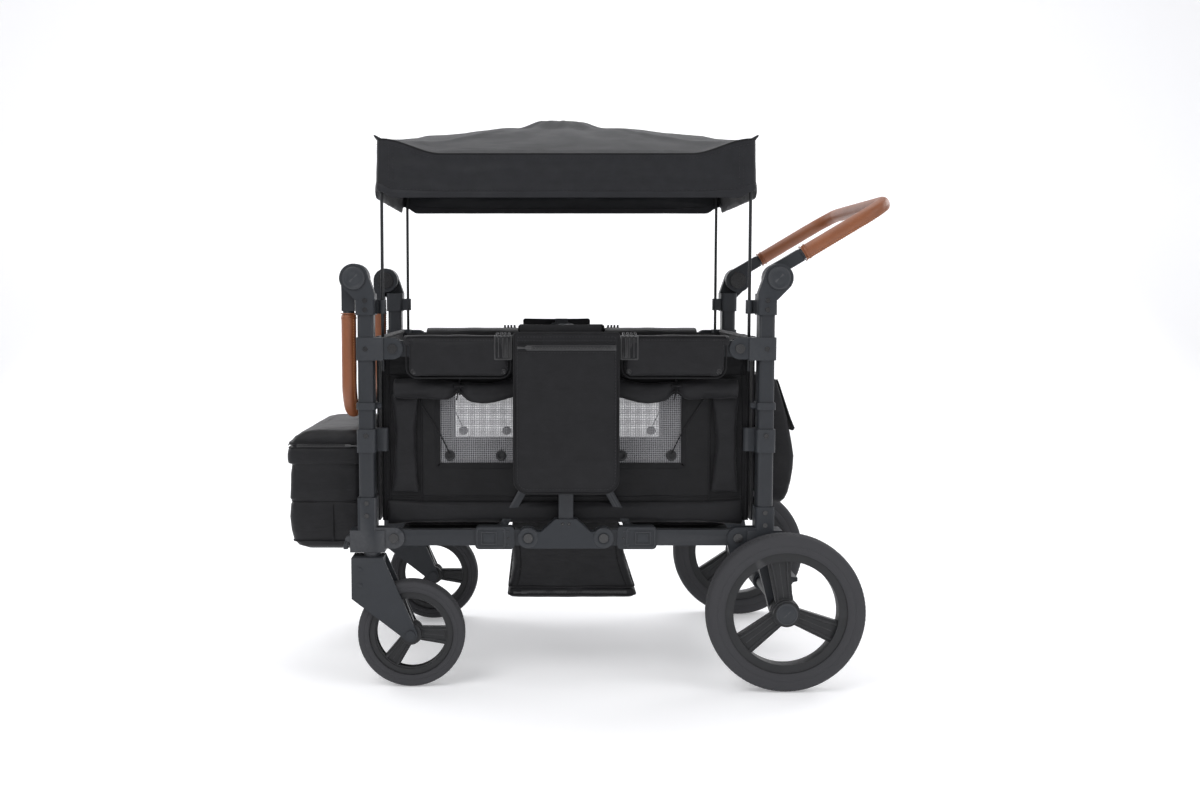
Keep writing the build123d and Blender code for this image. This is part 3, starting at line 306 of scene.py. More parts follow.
@dataclass(frozen=True)
class HardFinish(Finish):
    """Powder coat, moulded plastic, rubber or enamel: grain, rubbed edges, smears and dust."""

    grain: float = 1500.0
    depth: float = 0.06
    soften: float = 0.6
    metallic: float = 0.0
    specular: float = 0.32
    coat: float = 0.0
    edge: float = 0.5
    edge_colour: Colour = (0.12, 0.12, 0.125)
    dust: float = 0.12

    def build(self) -> bpy.types.Material:
        """Make the material."""
        material, sheet, skin = self.start()
        grain = Effects.place(sheet, grain_group, Scale=self.grain, Soften=self.soften)
        wear = Effects.place(sheet, wear_group, Edge=self.edge, Dust=self.dust)
        base = sheet.blend(grain.outputs["Shade"], self.tint(0.82), self.tint(1.2))
        rubbed = sheet.blend(wear.outputs["Edge"], base, opaque(self.edge_colour))
        sheet.feed(skin.inputs["Base Color"], sheet.blend(wear.outputs["Dust"], rubbed, opaque(DUST_COLOUR)))
        self.roughen(sheet, skin, wear.outputs["Smear"], 0.07, 0.09)
        bump = sheet.add("Bump", Height=grain.outputs["Height"], Distance=0.0006, Strength=self.depth)
        sheet.feed(skin.inputs["Normal"], bump.outputs["Normal"])
        settle(skin, Metallic=self.metallic, Specular_IOR_Level=self.specular,
               Coat_Weight=self.coat, Coat_Roughness=0.18)
        return material


@dataclass(frozen=True)
class ClothFinish(Finish):
    """Woven cloth with threads, slack, patches of wear and a soft sheen."""

    threads: float = 3600.0
    thread_depth: float = 0.25
    slack: float = 9.0
    slack_depth: float = 0.5
    sheen: float = 0.08
    dust: float = 0.03

    def build(self) -> bpy.types.Material:
        """Make the material."""
        material, sheet, skin = self.start()
        weave = Effects.place(sheet, weave_group, Threads=self.threads, Slack=self.slack)
        wear = Effects.place(sheet, wear_group, Edge=0.35, Dust=self.dust)
        base = sheet.blend(weave.outputs["Shade"], self.tint(0.62), self.tint(1.45))
        rubbed = sheet.blend(wear.outputs["Edge"], base, self.tint(2.6))
        sheet.feed(skin.inputs["Base Color"], sheet.blend(wear.outputs["Dust"], rubbed, opaque(DUST_COLOUR)))
        self.roughen(sheet, skin, wear.outputs["Smear"], 0.08, 0.08)
        folds = sheet.add("Bump", Height=weave.outputs["Slack"], Distance=0.006, Strength=self.slack_depth)
        threads = sheet.add("Bump", Height=weave.outputs["Height"], Distance=0.0003,
                            Strength=self.thread_depth, Normal=folds.outputs["Normal"])
        sheet.feed(skin.inputs["Normal"], threads.outputs["Normal"])
        settle(skin, Sheen_Weight=self.sheen, Sheen_Roughness=0.45, Specular_IOR_Level=0.24)
        return material


@dataclass(frozen=True)
class LeatherFinish(Finish):
    """Tan leather: pebbled grain, darker creases and a thin polish."""

    grain: float = 620.0

    def build(self) -> bpy.types.Material:
        """Make the material."""
        material, sheet, skin = self.start()
        grain = Effects.place(sheet, grain_group, Scale=self.grain, Soften=0.8)
        wear = Effects.place(sheet, wear_group, Edge=0.3, Dust=0.03)
        patches = sheet.blend(grain.outputs["Shade"], self.tint(0.72), self.tint(1.22))
        dark = sheet.add("MapRange", Value=grain.outputs["Height"], From_Min=0.2, From_Max=0.95)
        creased = sheet.blend(dark.outputs["Result"], self.tint(0.55), patches)
        lit = sheet.blend(wear.outputs["Edge"], creased, self.tint(1.5))
        sheet.feed(skin.inputs["Base Color"], sheet.blend(0.55, patches, lit))
        self.roughen(sheet, skin, wear.outputs["Smear"], 0.1, 0.12)
        bump = sheet.add("Bump", Height=grain.outputs["Height"], Distance=0.0009, Strength=0.35)
        sheet.feed(skin.inputs["Normal"], bump.outputs["Normal"])
        settle(skin, Coat_Weight=0.15, Coat_Roughness=0.35)
        return material


@dataclass(frozen=True)
class NetFinish(Finish):
    """An open net: pale threads with round holes that let light through."""

    pitch: float = 0.0072
    hole: float = 0.36

    def build(self) -> bpy.types.Material:
        """Make the material."""
        material, sheet, skin = self.start()
        place = sheet.add("TexCoord").outputs["Object"]
        parts = sheet.add("SeparateXYZ", Vector=place)
        step = 2 * math.pi / self.pitch
        across = sheet.math("SINE", sheet.math("MULTIPLY", parts.outputs[0], step))
        up = sheet.math("SINE", sheet.math("MULTIPLY", parts.outputs[2], step))
        lattice = sheet.math("MULTIPLY", across, up)
        openness = sheet.math("ABSOLUTE", lattice)
        thread = sheet.math("LESS_THAN", openness, self.hole)
        patch = sheet.add("TexNoise", Vector=place, Scale=26.0, Detail=3.0).outputs["Fac"]
        sheet.feed(skin.inputs["Base Color"], sheet.blend(patch, self.tint(0.7), self.tint(1.05)))
        sheet.feed(skin.inputs["Alpha"], sheet.spread(thread, 0.25, 0.9))
        self.roughen(sheet, skin, patch, 0.1, 0.1)
        return material


class Finishes(Enum):
    """Every finish on the wagon."""

    TUBE = HardFinish("satin_powder_coat", (0.02, 0.0225, 0.027), 0.4, grain=2600.0, depth=0.1, edge=0.35)
    BRACKET = HardFinish("grained_bracket_plastic", (0.023, 0.026, 0.031), 0.46, grain=1500.0, depth=0.16)
    BUTTON = HardFinish("smooth_button_plastic", (0.03, 0.033, 0.038), 0.42, grain=1900.0, depth=0.1)
    RIM = HardFinish("satin_rim_plastic", (0.017, 0.0175, 0.019), 0.42, grain=1200.0, depth=0.12)
    TYRE = HardFinish("tyre_rubber", (0.03, 0.0305, 0.032), 0.62, grain=700.0, depth=0.2,
                      specular=0.35, dust=0.3)
    RIVET = HardFinish("gloss_black_enamel", (0.01, 0.01, 0.011), 0.2, grain=3000.0, depth=0.03, coat=0.6)
    WIRE = HardFinish("black_wire_coat", (0.022, 0.023, 0.025), 0.3, grain=3000.0, depth=0.05, metallic=0.3)
    BOARD = HardFinish("textured_floor_board", (0.02, 0.02, 0.021), 0.6, grain=500.0, depth=0.3)
    CLASP = HardFinish("snap_plastic", (0.012, 0.012, 0.013), 0.3, grain=2400.0, depth=0.05, coat=0.2)
    WINDOW_STUD = HardFinish("window_stud_plastic", (0.008, 0.008, 0.009), 0.38, grain=2000.0, depth=0.05)
    CANOPY = ClothFinish("coated_canopy_cloth", (0.0135, 0.014, 0.0165), 0.6, slack=7.0, slack_depth=0.75)
    LINER = ClothFinish("tub_wall_cloth", (0.0075, 0.0075, 0.0085), 0.66, slack=11.0, slack_depth=0.55)
    PADDED = ClothFinish("padded_cloth", (0.0095, 0.0095, 0.011), 0.58, slack=13.0, slack_depth=0.6)
    POCKET = ClothFinish("pocket_cloth", (0.0085, 0.0085, 0.01), 0.56, slack=10.0, slack_depth=0.5)
    BAG = ClothFinish("bag_cloth", (0.0105, 0.0105, 0.012), 0.54, slack=15.0, slack_depth=0.7)
    TRIM = ClothFinish("binding_tape", (0.006, 0.006, 0.007), 0.7, threads=5200.0, slack=30.0,
                       slack_depth=0.3)
    THREAD = ClothFinish("seam_thread", (0.02, 0.02, 0.022), 0.6, threads=9000.0, slack_depth=0.1)
    ZIP = HardFinish("zip_teeth", (0.014, 0.014, 0.015), 0.32, grain=2600.0, depth=0.08, coat=0.2)
    LEATHER = LeatherFinish("tan_leather", (0.25, 0.078, 0.026), 0.46)
    TAN_THREAD = ClothFinish("tan_thread", (0.42, 0.2, 0.09), 0.6, threads=9000.0, slack_depth=0.1)
    NET = NetFinish("white_net", (0.30, 0.30, 0.315), 0.6)

    def material(self) -> bpy.types.Material:
        """The finish's material, made the first time that it is asked for."""
        found = bpy.data.materials.get(self.value.name)
        return found or self.value.build()


# Mesh building

CENTRE_X = sum(corner.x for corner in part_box("centre_posts")) / 2
SMOOTH_ANGLE = math.radians(42)
SAME_SPOT = 0.02 * MM
TOOTH_PITCH = 2.6


def spot(x: float, y: float, z: float) -> Vector:
    """A place in millimetres from the centre posts, as a point of the frame in metres."""
    return Vector((x * MM + CENTRE_X, y * MM, z * MM))


def extent(node: str) -> tuple[Vector, Vector]:
    """A node's lowest and highest corners, in millimetres from the centre posts."""
    shift = Vector((CENTRE_X, 0, 0))
    low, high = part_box(node)
    return (low - shift) / MM, (high - shift) / MM


def spaced(stops: Sequence[float], step: float) -> list[float]:
    """Values that pass through every stop with no gap wider than a step."""
    values = [stops[0]]
    for start, end in zip(stops, stops[1:]):
        count = max(1, math.ceil(abs(end - start) / step))
        values += [start + (end - start) * i / count for i in range(1, count + 1)]
    return values


def ease(value: float) -> float:
    """Run smoothly from 0 to 1 as the value does, and stay there outside."""
    value = min(1.0, max(0.0, value))
    return value * value * (3 - 2 * value)


def ripple(x: float, y: float, z: float, size: float) -> float:
    """Even wandering between -1 and 1 with waves of the given size in millimetres."""
    return noise.noise(Vector((x, y, z)) / size + Vector((SEED, SEED, SEED)))


def circle(centre: Vector, first: Vector, second: Vector, radius: float, steps: int) -> list[Vector]:
    """Points round a circle.

    Args:
        centre: Its centre.
        first: The direction of its first point.
        second: The direction of the point a quarter further on.
        radius: Its radius.
        steps: How many points it has.

    Returns:
        The points, without the first again at the end.
    """
    turns = (2 * math.pi * k / steps for k in range(steps))
    return [centre + (first * math.cos(turn) + second * math.sin(turn)) * radius for turn in turns]


def rounded_loop(
    width: float, height: float, corner: float, step: float, foot: float | None = None, turns: int = 5,
) -> list[tuple[float, float]]:
    """Points around a rectangle with round corners.

    Args:
        width: The full width.
        height: The full height.
        corner: The corners' radius.
        step: The widest gap between points.
        foot: The lower corners' radius, where it differs.
        turns: How many steps each corner takes.

    Returns:
        The points, from the middle of the right side, turning left.
    """
    points: list[tuple[float, float]] = []
    foot = corner if foot is None else foot
    radii = (corner, corner, foot, foot)
    for quarter, radius in enumerate(radii):
        sign_x = (1, -1, -1, 1)[quarter]
        sign_y = (1, 1, -1, -1)[quarter]
        middle = (sign_x * (width / 2 - radius), sign_y * (height / 2 - radius))
        for i in range(turns + 1):
            angle = math.pi / 2 * (quarter + i / turns)
            points.append((middle[0] + radius * math.cos(angle), middle[1] + radius * math.sin(angle)))
        run = (height if quarter % 2 else width) - radius - radii[(quarter + 1) % 4]
        along = ((-1, 0), (0, -1), (1, 0), (0, 1))[quarter]
        side = math.ceil(run / step)
        last = points[-1]
        points += [(last[0] + along[0] * run * i / side, last[1] + along[1] * run * i / side)
                   for i in range(1, side)]
    return points


@dataclass(frozen=True)
class Axes:
    """A flat working plane: an origin in millimetres and three directions."""

    origin: Point
    across: Point = (1, 0, 0)
    up: Point = (0, 0, 1)
    out: Point = (0, -1, 0)

    def place(self, u: float, v: float, w: float = 0.0) -> Vector:
        """A point of the plane, in millimetres from the centre posts."""
        return Vector(self.origin) + Vector(self.across) * u + Vector(self.up) * v + Vector(self.out) * w


def side_plane(side: Side, x: float, y: float, z: float) -> Axes:
    """An upright plane on one side that faces outwards, y millimetres from the middle."""
    return Axes((x, side.sign * y, z), out=(0, side.sign, 0))


@dataclass
class Former:
    """A mesh being formed from points in millimetres from the centre posts."""

    bm: bmesh.types.BMesh = field(default_factory=bmesh.new)

    def point(self, place: Iterable[float]) -> bmesh.types.BMVert:
        """Add one vertex."""
        return self.bm.verts.new(spot(*place))

    def skin(self, rows: list[list[bmesh.types.BMVert]], around: bool = False, along: bool = False) -> None:
        """Join rows of vertices with faces, closing each row or the rows if asked."""
        row_pairs = list(zip(rows, rows[1:])) + ([(rows[-1], rows[0])] if along else [])
        for first, second in row_pairs:
            count = len(first) if around else len(first) - 1
            for i in range(count):
                j = (i + 1) % len(first)
                self.bm.faces.new((first[i], first[j], second[j], second[i]))

    def grid(
        self, across: Sequence[float], up: Sequence[float], place: Callable[[float, float], Iterable[float]],
        skip: Callable[[float, float], bool] | None = None,
    ) -> None:
        """Lay a sheet of faces over place(a, b), leaving out the cells whose middle is skipped."""
        rows = [[self.point(place(a, b)) for a in across] for b in up]
        for j, (first, second) in enumerate(zip(rows, rows[1:])):
            for i in range(len(first) - 1):
                if skip and skip((across[i] + across[i + 1]) / 2, (up[j] + up[j + 1]) / 2):
                    continue
                self.bm.faces.new((first[i], first[i + 1], second[i + 1], second[i]))

    def tube(
        self, path: Sequence[Iterable[float]], radius: float | Callable[[float], float],
        sides: int = 8, closed: bool = False, flat: float = 1.0, up: Point = (0, 0, 1),
    ) -> None:
        """Run a tube along a path.

        Args:
            path: Points in millimetres.
            radius: The radius, or a function of how far along the path it is, 0 to 1.
            sides: How many sides the tube has.
            closed: Whether the path joins its start.
            flat: How much thinner the tube is along the up direction.
            up: The direction that the flattened side faces.
        """
        spots = [Vector(p) for p in path]
        rings = []
        last = len(spots) - 1
        for i, middle in enumerate(spots):
            before = spots[i - 1] if i or closed else middle
            after = spots[(i + 1) % len(spots)] if i < last or closed else middle
            forward = (after - before).normalized()
            side = forward.cross(Vector(up))
            if side.length < 0.05:
                side = forward.cross(Vector((0.3, 0.9, 0.2)))
            side.normalize()
            top = side.cross(forward) * flat
            size = radius(i / max(1, last)) if callable(radius) else radius
            rings.append([self.point(place) for place in circle(middle, side, top, size, sides)])
        self.skin(rings, around=True, along=closed)
        if not closed:
            self.bm.faces.new(rings[0])
            self.bm.faces.new(reversed(rings[-1]))

    def revolve(
        self, profile: Sequence[tuple[float, float]], centre: Point, axis: Point, steps: int = 24,
        closed: bool = False,
    ) -> None:
        """Spin a profile of (radius, distance along the axis) about an axis through a centre."""
        line = Vector(axis).normalized()
        side = line.orthogonal().normalized()
        other = line.cross(side)
        rows = []
        for k in range(steps):
            turn = 2 * math.pi * k / steps
            arm = side * math.cos(turn) + other * math.sin(turn)
            rows.append([self.point(Vector(centre) + arm * r + line * d) for r, d in profile])
        self.skin(rows, around=closed, along=True)
        if not closed:
            for end in (0, -1):
                if profile[end][0] > 0:
                    self.bm.faces.new([row[end] for row in rows])

    def band(self, width: float, height: float, corner: float, tape: float, axes: Axes, thick: float) -> None:
        """Lay a flat tape round a rectangle with round corners.

        Args:
            width: The tape's outer width.
            height: The tape's outer height.
            corner: The outer corners' radius.
            tape: How wide the tape is.
            axes: The plane that it lies on.
            thick: How far it stands out.
        """
        rows = []
        for inset, lift in ((0.0, 0.0), (0.0, 0.6), (0.12, 1.0), (0.88, 1.0), (1.0, 0.6), (1.0, 0.0)):
            by = inset * tape
            loop = rounded_loop(width - 2 * by, height - 2 * by, corner - by, 9.0)
            rows.append([self.point(axes.place(u, v, lift * thick)) for u, v in loop])
        self.skin(rows, around=True, along=True)

    def plate(self, loop: Sequence[tuple[float, float]], axes: Axes, thick: float, edge: float = 0.6) -> None:
        """Add a plate with eased edges.

        Args:
            loop: Its outline on the axes.
            axes: The plane that the plate lies on.
            thick: How far it stands out of the plane.
            edge: How far its edges are eased.
        """
        middle = (sum(u for u, _ in loop) / len(loop), sum(v for _, v in loop) / len(loop))
        rows = []
        for inset, lift in ((0, 0), (0, thick - edge), (0.35 * edge, thick - 0.3 * edge), (edge, thick)):
            ring = []
            for u, v in loop:
                reach = max(1e-6, math.hypot(u - middle[0], v - middle[1]))
                share = 1 - inset / reach
                ring.append(self.point(axes.place(
                    middle[0] + (u - middle[0]) * share, middle[1] + (v - middle[1]) * share, lift)))
            rows.append(ring)
        self.skin(rows, around=True)
        self.bm.faces.new(rows[0])
        self.bm.faces.new(reversed(rows[-1]))

    def pillow(
        self, axes: Axes, width: float, height: float, edge: float, crown: float,
        pinch: float = 3.0, corner: float = 12.0, foot: float | None = None, crease: float = 0.8,
        back: float = 0.0,
    ) -> None:
        """Add a closed crowned form whose sides pull in between its corners.

        Args:
            axes: Its middle plane.
            width: Its width.
            height: Its height.
            edge: Its thickness at the rim.
            crown: How much further its middle stands out.
            pinch: How far the sides pull in.
            corner: The corners' radius.
            foot: The lower corners' radius, where it differs.
            crease: How deep the wandering creases are.
            back: The share of the crown that the back has too.
        """
        loop = rounded_loop(width, height, corner, 7.0, foot)
        rings = 9
        rows = []
        for side in (1, -1):
            share_of_crown = 1.0 if side > 0 else back
            levels = range(rings + 1) if side > 0 else range(rings, -1, -1)
            for k in levels:
                share = math.sin(math.pi / 2 * k / rings)
                ring = []
                for u, v in loop:
                    pull, a, b = pinch * share ** 3, 2 * u / width, 2 * v / height
                    u_in = u * share - math.copysign(pull, u) * a ** 4 * max(0.0, 1 - b ** 2)
                    v_in = v * share - math.copysign(pull, v) * b ** 4 * max(0.0, 1 - a ** 2)
                    lift = edge / 2 + crown * share_of_crown * (1 - share ** 4) ** 0.7
                    here = axes.place(u_in, v_in)
                    wander = crease * ripple(here.x, here.y * 2, here.z, 34.0) * (1 - share ** 6)
                    ring.append(self.point(axes.place(u_in, v_in, side * (lift + wander))))
                rows.append(ring)
        self.skin(rows, around=True)
        bmesh.ops.remove_doubles(self.bm, verts=self.bm.verts, dist=SAME_SPOT)

    def loft(
        self, loop: Sequence[tuple[float, float]], sections: Sequence[tuple[float, float, float, float]],
        bulge: float, crease: float, dome: float | None = 3.0,
    ) -> None:
        """Raise a bag through level sections, bowed between its corners and creased.

        Args:
            loop: The outline that every section is scaled from.
            sections: Height, lowest x, highest x and half width of each section.
            bulge: How far the sides bow out half way up.
            crease: How deep the wandering creases are.
            dome: How far the closed ends stand out, or None to leave them open.
        """
        wide = max(u for u, _ in loop)
        deep = max(v for _, v in loop)
        rows = []
        heights = [section[0] for section in sections]
        tall = heights[0] - heights[-1]
        for z, low, high, half in sections:
            belly = bulge * math.sin(math.pi * min(1.0, max(0.0, (heights[0] - z) / tall)))
            ring = []
            for u, v in loop:
                across, away = u / wide, v / deep
                x = (low + high) / 2 + across * (high - low) / 2
                y = away * half
                x += math.copysign(belly * (1 - away ** 2) * abs(across) ** 8, across)
                y += math.copysign(belly * (1 - across ** 2) * abs(away) ** 8, away)
                broad, fine = ripple(x, y, z * 0.7, 42.0), ripple(x * 1.5, y * 1.5, z * 2.2, 30.0)
                wander = crease * (broad + 0.5 * fine)
                ring.append(self.point((x + across * wander, y + away * wander, z)))
            rows.append(ring)
        self.skin(rows, around=True)
        if dome is None:
            return
        for row, way in ((rows[0], 1), (rows[-1], -1)):
            centre = sum((vertex.co for vertex in row), Vector()) / len(row)
            previous = row
            for share in (0.95, 0.82, 0.6, 0.34, 0.1):
                lift = Vector((0, 0, way * dome * (1 - share ** 2) * MM))
                ring = []
                for vertex in row:
                    flat = centre + (vertex.co - centre) * share + lift
                    place = (flat - Vector((CENTRE_X, 0, 0))) / MM
                    flat.z += crease * ripple(place.x, place.y, place.z, 46.0) * MM
                    ring.append(self.bm.verts.new(flat))
                self.skin([previous, ring], around=True)
                previous = ring
            self.bm.faces.new(previous)

    def zip_line(self, start: Vector, end: Vector, out: Vector, tape: float = 5.0) -> None:
        """Lay a closed zip: its tape, its teeth and its slider with a pull.

        Args:
            start: Where the slider rests.
            end: The other end.
            out: The way that the zip faces.
            tape: Half the tape's width.
        """
        forward = (end - start).normalized()
        up = out.cross(forward).normalized()
        steps = max(4, int((end - start).length / 12))
        facing = tuple(out)
        self.tube([start.lerp(end, i / steps) for i in range(steps + 1)], tape, sides=8, flat=0.16, up=facing)
        for i in range(int((end - start).length / TOOTH_PITCH)):
            middle = start + forward * (i + 0.5) * TOOTH_PITCH + out * 1.0 + up * (0.7 if i % 2 else -0.7)
            self.tube([middle - up * 1.6, middle + up * 1.6], 0.75, sides=6)
        slider = [start + out * lift + forward * along for lift, along in ((2.0, -2), (2.6, 3), (2.0, 9))]
        self.tube(slider, 3.0, sides=8, flat=0.6, up=facing)
        pull = [start + out * lift + forward * along for lift, along in ((3.6, 3), (4.2, -8), (3.2, -17))]
        self.tube(pull, lambda t: 1.3 + 0.9 * t, sides=8, flat=0.5, up=facing)

    def stitches(
        self, path: Sequence[Iterable[float]], pitch: float, length: float, radius: float = 0.45,
    ) -> None:
        """Sew a row of short raised stitches along a path.

        Args:
            path: Points in millimetres.
            pitch: The distance from one stitch to the next.
            length: Each stitch's length.
            radius: The thread's radius.
        """
        spots = [Vector(p) for p in path]
        travelled, following = 0.0, pitch / 2
        for start, end in zip(spots, spots[1:]):
            run = (end - start).length
            while following < travelled + run:
                middle = start.lerp(end, (following - travelled) / run)
                reach = (end - start).normalized() * length / 2
                self.tube([middle - reach, middle - reach * 0.5, middle + reach * 0.5, middle + reach],
                          lambda t: radius * (0.45 if t in (0, 1) else 1.0), sides=5)
                following += pitch
            travelled += run

    def done(
        self, name: str, finish: Finishes, body: str, slot: str, level: int = 0, thick: float = 0.0,
    ) -> bpy.types.Object:
        """Make the formed mesh a piece of the wagon.

        Args:
            name: The piece's name.
            finish: What it is made of.
            body: The body that it moves with.
            slot: The record's material slot; not used.
            level: Subdivision levels.
            thick: The sheet's thickness in millimetres, where it is one.

        Returns:
            The piece.
        """
        bmesh.ops.recalc_face_normals(self.bm, faces=self.bm.faces)
        mesh = bpy.data.meshes.new(name)
        self.bm.to_mesh(mesh)
        self.bm.free()
        mesh.shade_smooth()
        mesh.set_sharp_from_angle(angle=SMOOTH_ANGLE)
        made = bpy.data.objects.new(name, mesh)
        bpy.context.scene.collection.objects.link(made)
        mesh.materials.append(finish.material())
        if thick:
            shell = made.modifiers.new("thickness", "SOLIDIFY")
            shell.thickness = thick * MM
            shell.offset = 0.0
        if level:
            smoother = made.modifiers.new("smoothing", "SUBSURF")
            smoother.levels = smoother.render_levels = level
        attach(made, body)
        LOG.info("%s: %s, rides on %s", name, finish.value.name, body)
        return made


def bake_modifiers(piece: bpy.types.Object) -> None:
    """Apply every modifier on a piece to its mesh."""
    ready = piece.evaluated_get(bpy.context.evaluated_depsgraph_get())
    mesh = bpy.data.meshes.new_from_object(ready)
    piece.modifiers.clear()
    piece.data = mesh


@dataclass(frozen=True)
class Stuffing:
    """How a padded piece is blown up by the cloth solver.

    Attributes:
        voxel: The size of the even mesh that it works on, in millimetres.
        pressure: How hard it is blown up.
        steps: How many steps it takes.
        limit: How far a point may move, in millimetres.
        quality: The solver's steps within each step.
    """

    voxel: float = 5.0
    pressure: float = 4.0
    steps: int = 20
    limit: float = 7.0
    quality: int = 5

    def fill(self, piece: bpy.types.Object) -> None:
        """Swell a closed piece under pressure, cap how far each point moves, and keep the result."""
        remesh = piece.modifiers.new("even_mesh", "REMESH")
        remesh.mode = "VOXEL"
        remesh.voxel_size = self.voxel * MM
        bake_modifiers(piece)
        start = [vertex.co.copy() for vertex in piece.data.vertices]
        cloth = piece.modifiers.new("stuffing", "CLOTH")
        cloth.settings.use_pressure = True
        cloth.settings.uniform_pressure_force = self.pressure
        cloth.settings.quality = self.quality
        cloth.settings.effector_weights.gravity = 0.0
        cloth.point_cache.frame_start = 1
        cloth.point_cache.frame_end = self.steps
        scene = bpy.context.scene
        for step in range(1, self.steps + 1):
            scene.frame_set(step)
        bake_modifiers(piece)
        for vertex, first in zip(piece.data.vertices, start):
            moved = vertex.co - first
            if moved.length > self.limit * MM:
                vertex.co = first + moved.normalized() * self.limit * MM
        scene.frame_set(1)
        piece.data.shade_smooth()
        smoother = piece.modifiers.new("smoothing", "SUBSURF")
        smoother.levels = smoother.render_levels = 1


# The studio


@dataclass
class Studio:
    """A pale floor that curves up behind, soft lights and the camera."""

    floor_half: float = 6.0
    wall_start: float = 1.9
    wall_height: float = 3.4
    sweep: float = 1.1
    shade: Colour = (0.86, 0.86, 0.87)
    glow: float = 0.32
    air: Colour = (0.95, 0.96, 1.0)
    air_strength: float = 0.38
    eye: Point = (-0.0909, -2.83, 0.75)
    tilt: float = 4.54
    lens: float = 40.8
    shift: float = 0.0504

    def build(self) -> None:
        """Make the floor, the lights and the camera."""
        self.backdrop()
        self.lamp("key", (-1.6, -2.2, 2.9), (0.1, 0.0, 0.55), 1.8, 46.0)
        self.lamp("fill", (2.6, -2.0, 1.7), (0.1, 0.0, 0.45), 1.8, 22.0)
        self.lamp("overhead", (0.2, 0.4, 3.3), (0.0, 0.0, 0.4), 2.4, 46.0)
        self.lamp("rim_left", (-2.6, 1.5, 1.6), (0.0, 0.0, 0.6), 1.4, 26.0)
        self.lamp("rim_right", (2.7, 1.6, 1.9), (0.0, 0.0, 0.6), 1.4, 26.0)
        self.lamp("low_front", (0.1, -2.9, 0.5), (0.0, 0.0, 0.35), 1.2, 4.0)
        world = bpy.data.worlds.new("studio_air")
        world.use_nodes = True
        settle(world.node_tree.nodes["Background"], Color=opaque(self.air), Strength=self.air_strength)
        bpy.context.scene.world = world
        bpy.context.scene.view_settings.view_transform = "Standard"
        self.camera()

    def backdrop(self) -> None:
        """Make the floor and the wall behind it as one swept sheet."""
        profile = [(-self.floor_half, 0.0), (self.wall_start, 0.0)]
        for k in range(1, 13):
            turn = math.pi / 2 * k / 12
            profile.append((self.wall_start + self.sweep * math.sin(turn), self.sweep * (1 - math.cos(turn))))
        profile.append((self.wall_start + self.sweep, self.wall_height))
        bm = bmesh.new()
        rows = [[bm.verts.new((x, y, z)) for y, z in profile] for x in (-self.floor_half, self.floor_half)]
        for i in range(len(profile) - 1):
            bm.faces.new((rows[0][i], rows[0][i + 1], rows[1][i + 1], rows[1][i]))
        mesh = bpy.data.meshes.new("studio_floor")
        bm.to_mesh(mesh)
        bm.free()
        mesh.shade_smooth()
        floor = bpy.data.objects.new("studio_floor", mesh)
        bpy.context.scene.collection.objects.link(floor)
        material = bpy.data.materials.new("studio_paper")
        material.use_nodes = True
        skin = material.node_tree.nodes["Principled BSDF"]
        settle(skin, Base_Color=opaque(self.shade), Roughness=0.75,
               Emission_Color=opaque(self.shade), Emission_Strength=self.glow)
        mesh.materials.append(material)

    def lamp(self, name: str, place: Point, aim: Point, size: float, power: float) -> None:
        """Add a square soft light.

        Args:
            name: Its name.
            place: Where it is, in metres.
            aim: What it points at.
            size: The side of its panel.
            power: Its power in watts.
        """
        light = bpy.data.lights.new(name, "AREA")
        light.shape = "SQUARE"
        light.size = size
        light.energy = power
        lamp = bpy.data.objects.new(name, light)
        lamp.location = place
        lamp.rotation_euler = (Vector(aim) - Vector(place)).to_track_quat("-Z", "Y").to_euler()
        bpy.context.scene.collection.objects.link(lamp)

    def camera(self) -> None:
        """Set up the camera, square to the wagon's side and tipped down a little."""
        data = bpy.data.cameras.new("camera")
        data.lens = self.lens
        data.shift_x = self.shift
        data.dof.use_dof = False
        eye = bpy.data.objects.new("camera", data)
        eye.location = self.eye
        eye.rotation_euler = (math.radians(90 - self.tilt), 0.0, 0.0)
        bpy.context.scene.collection.objects.link(eye)
        bpy.context.scene.camera = eye


# The frame


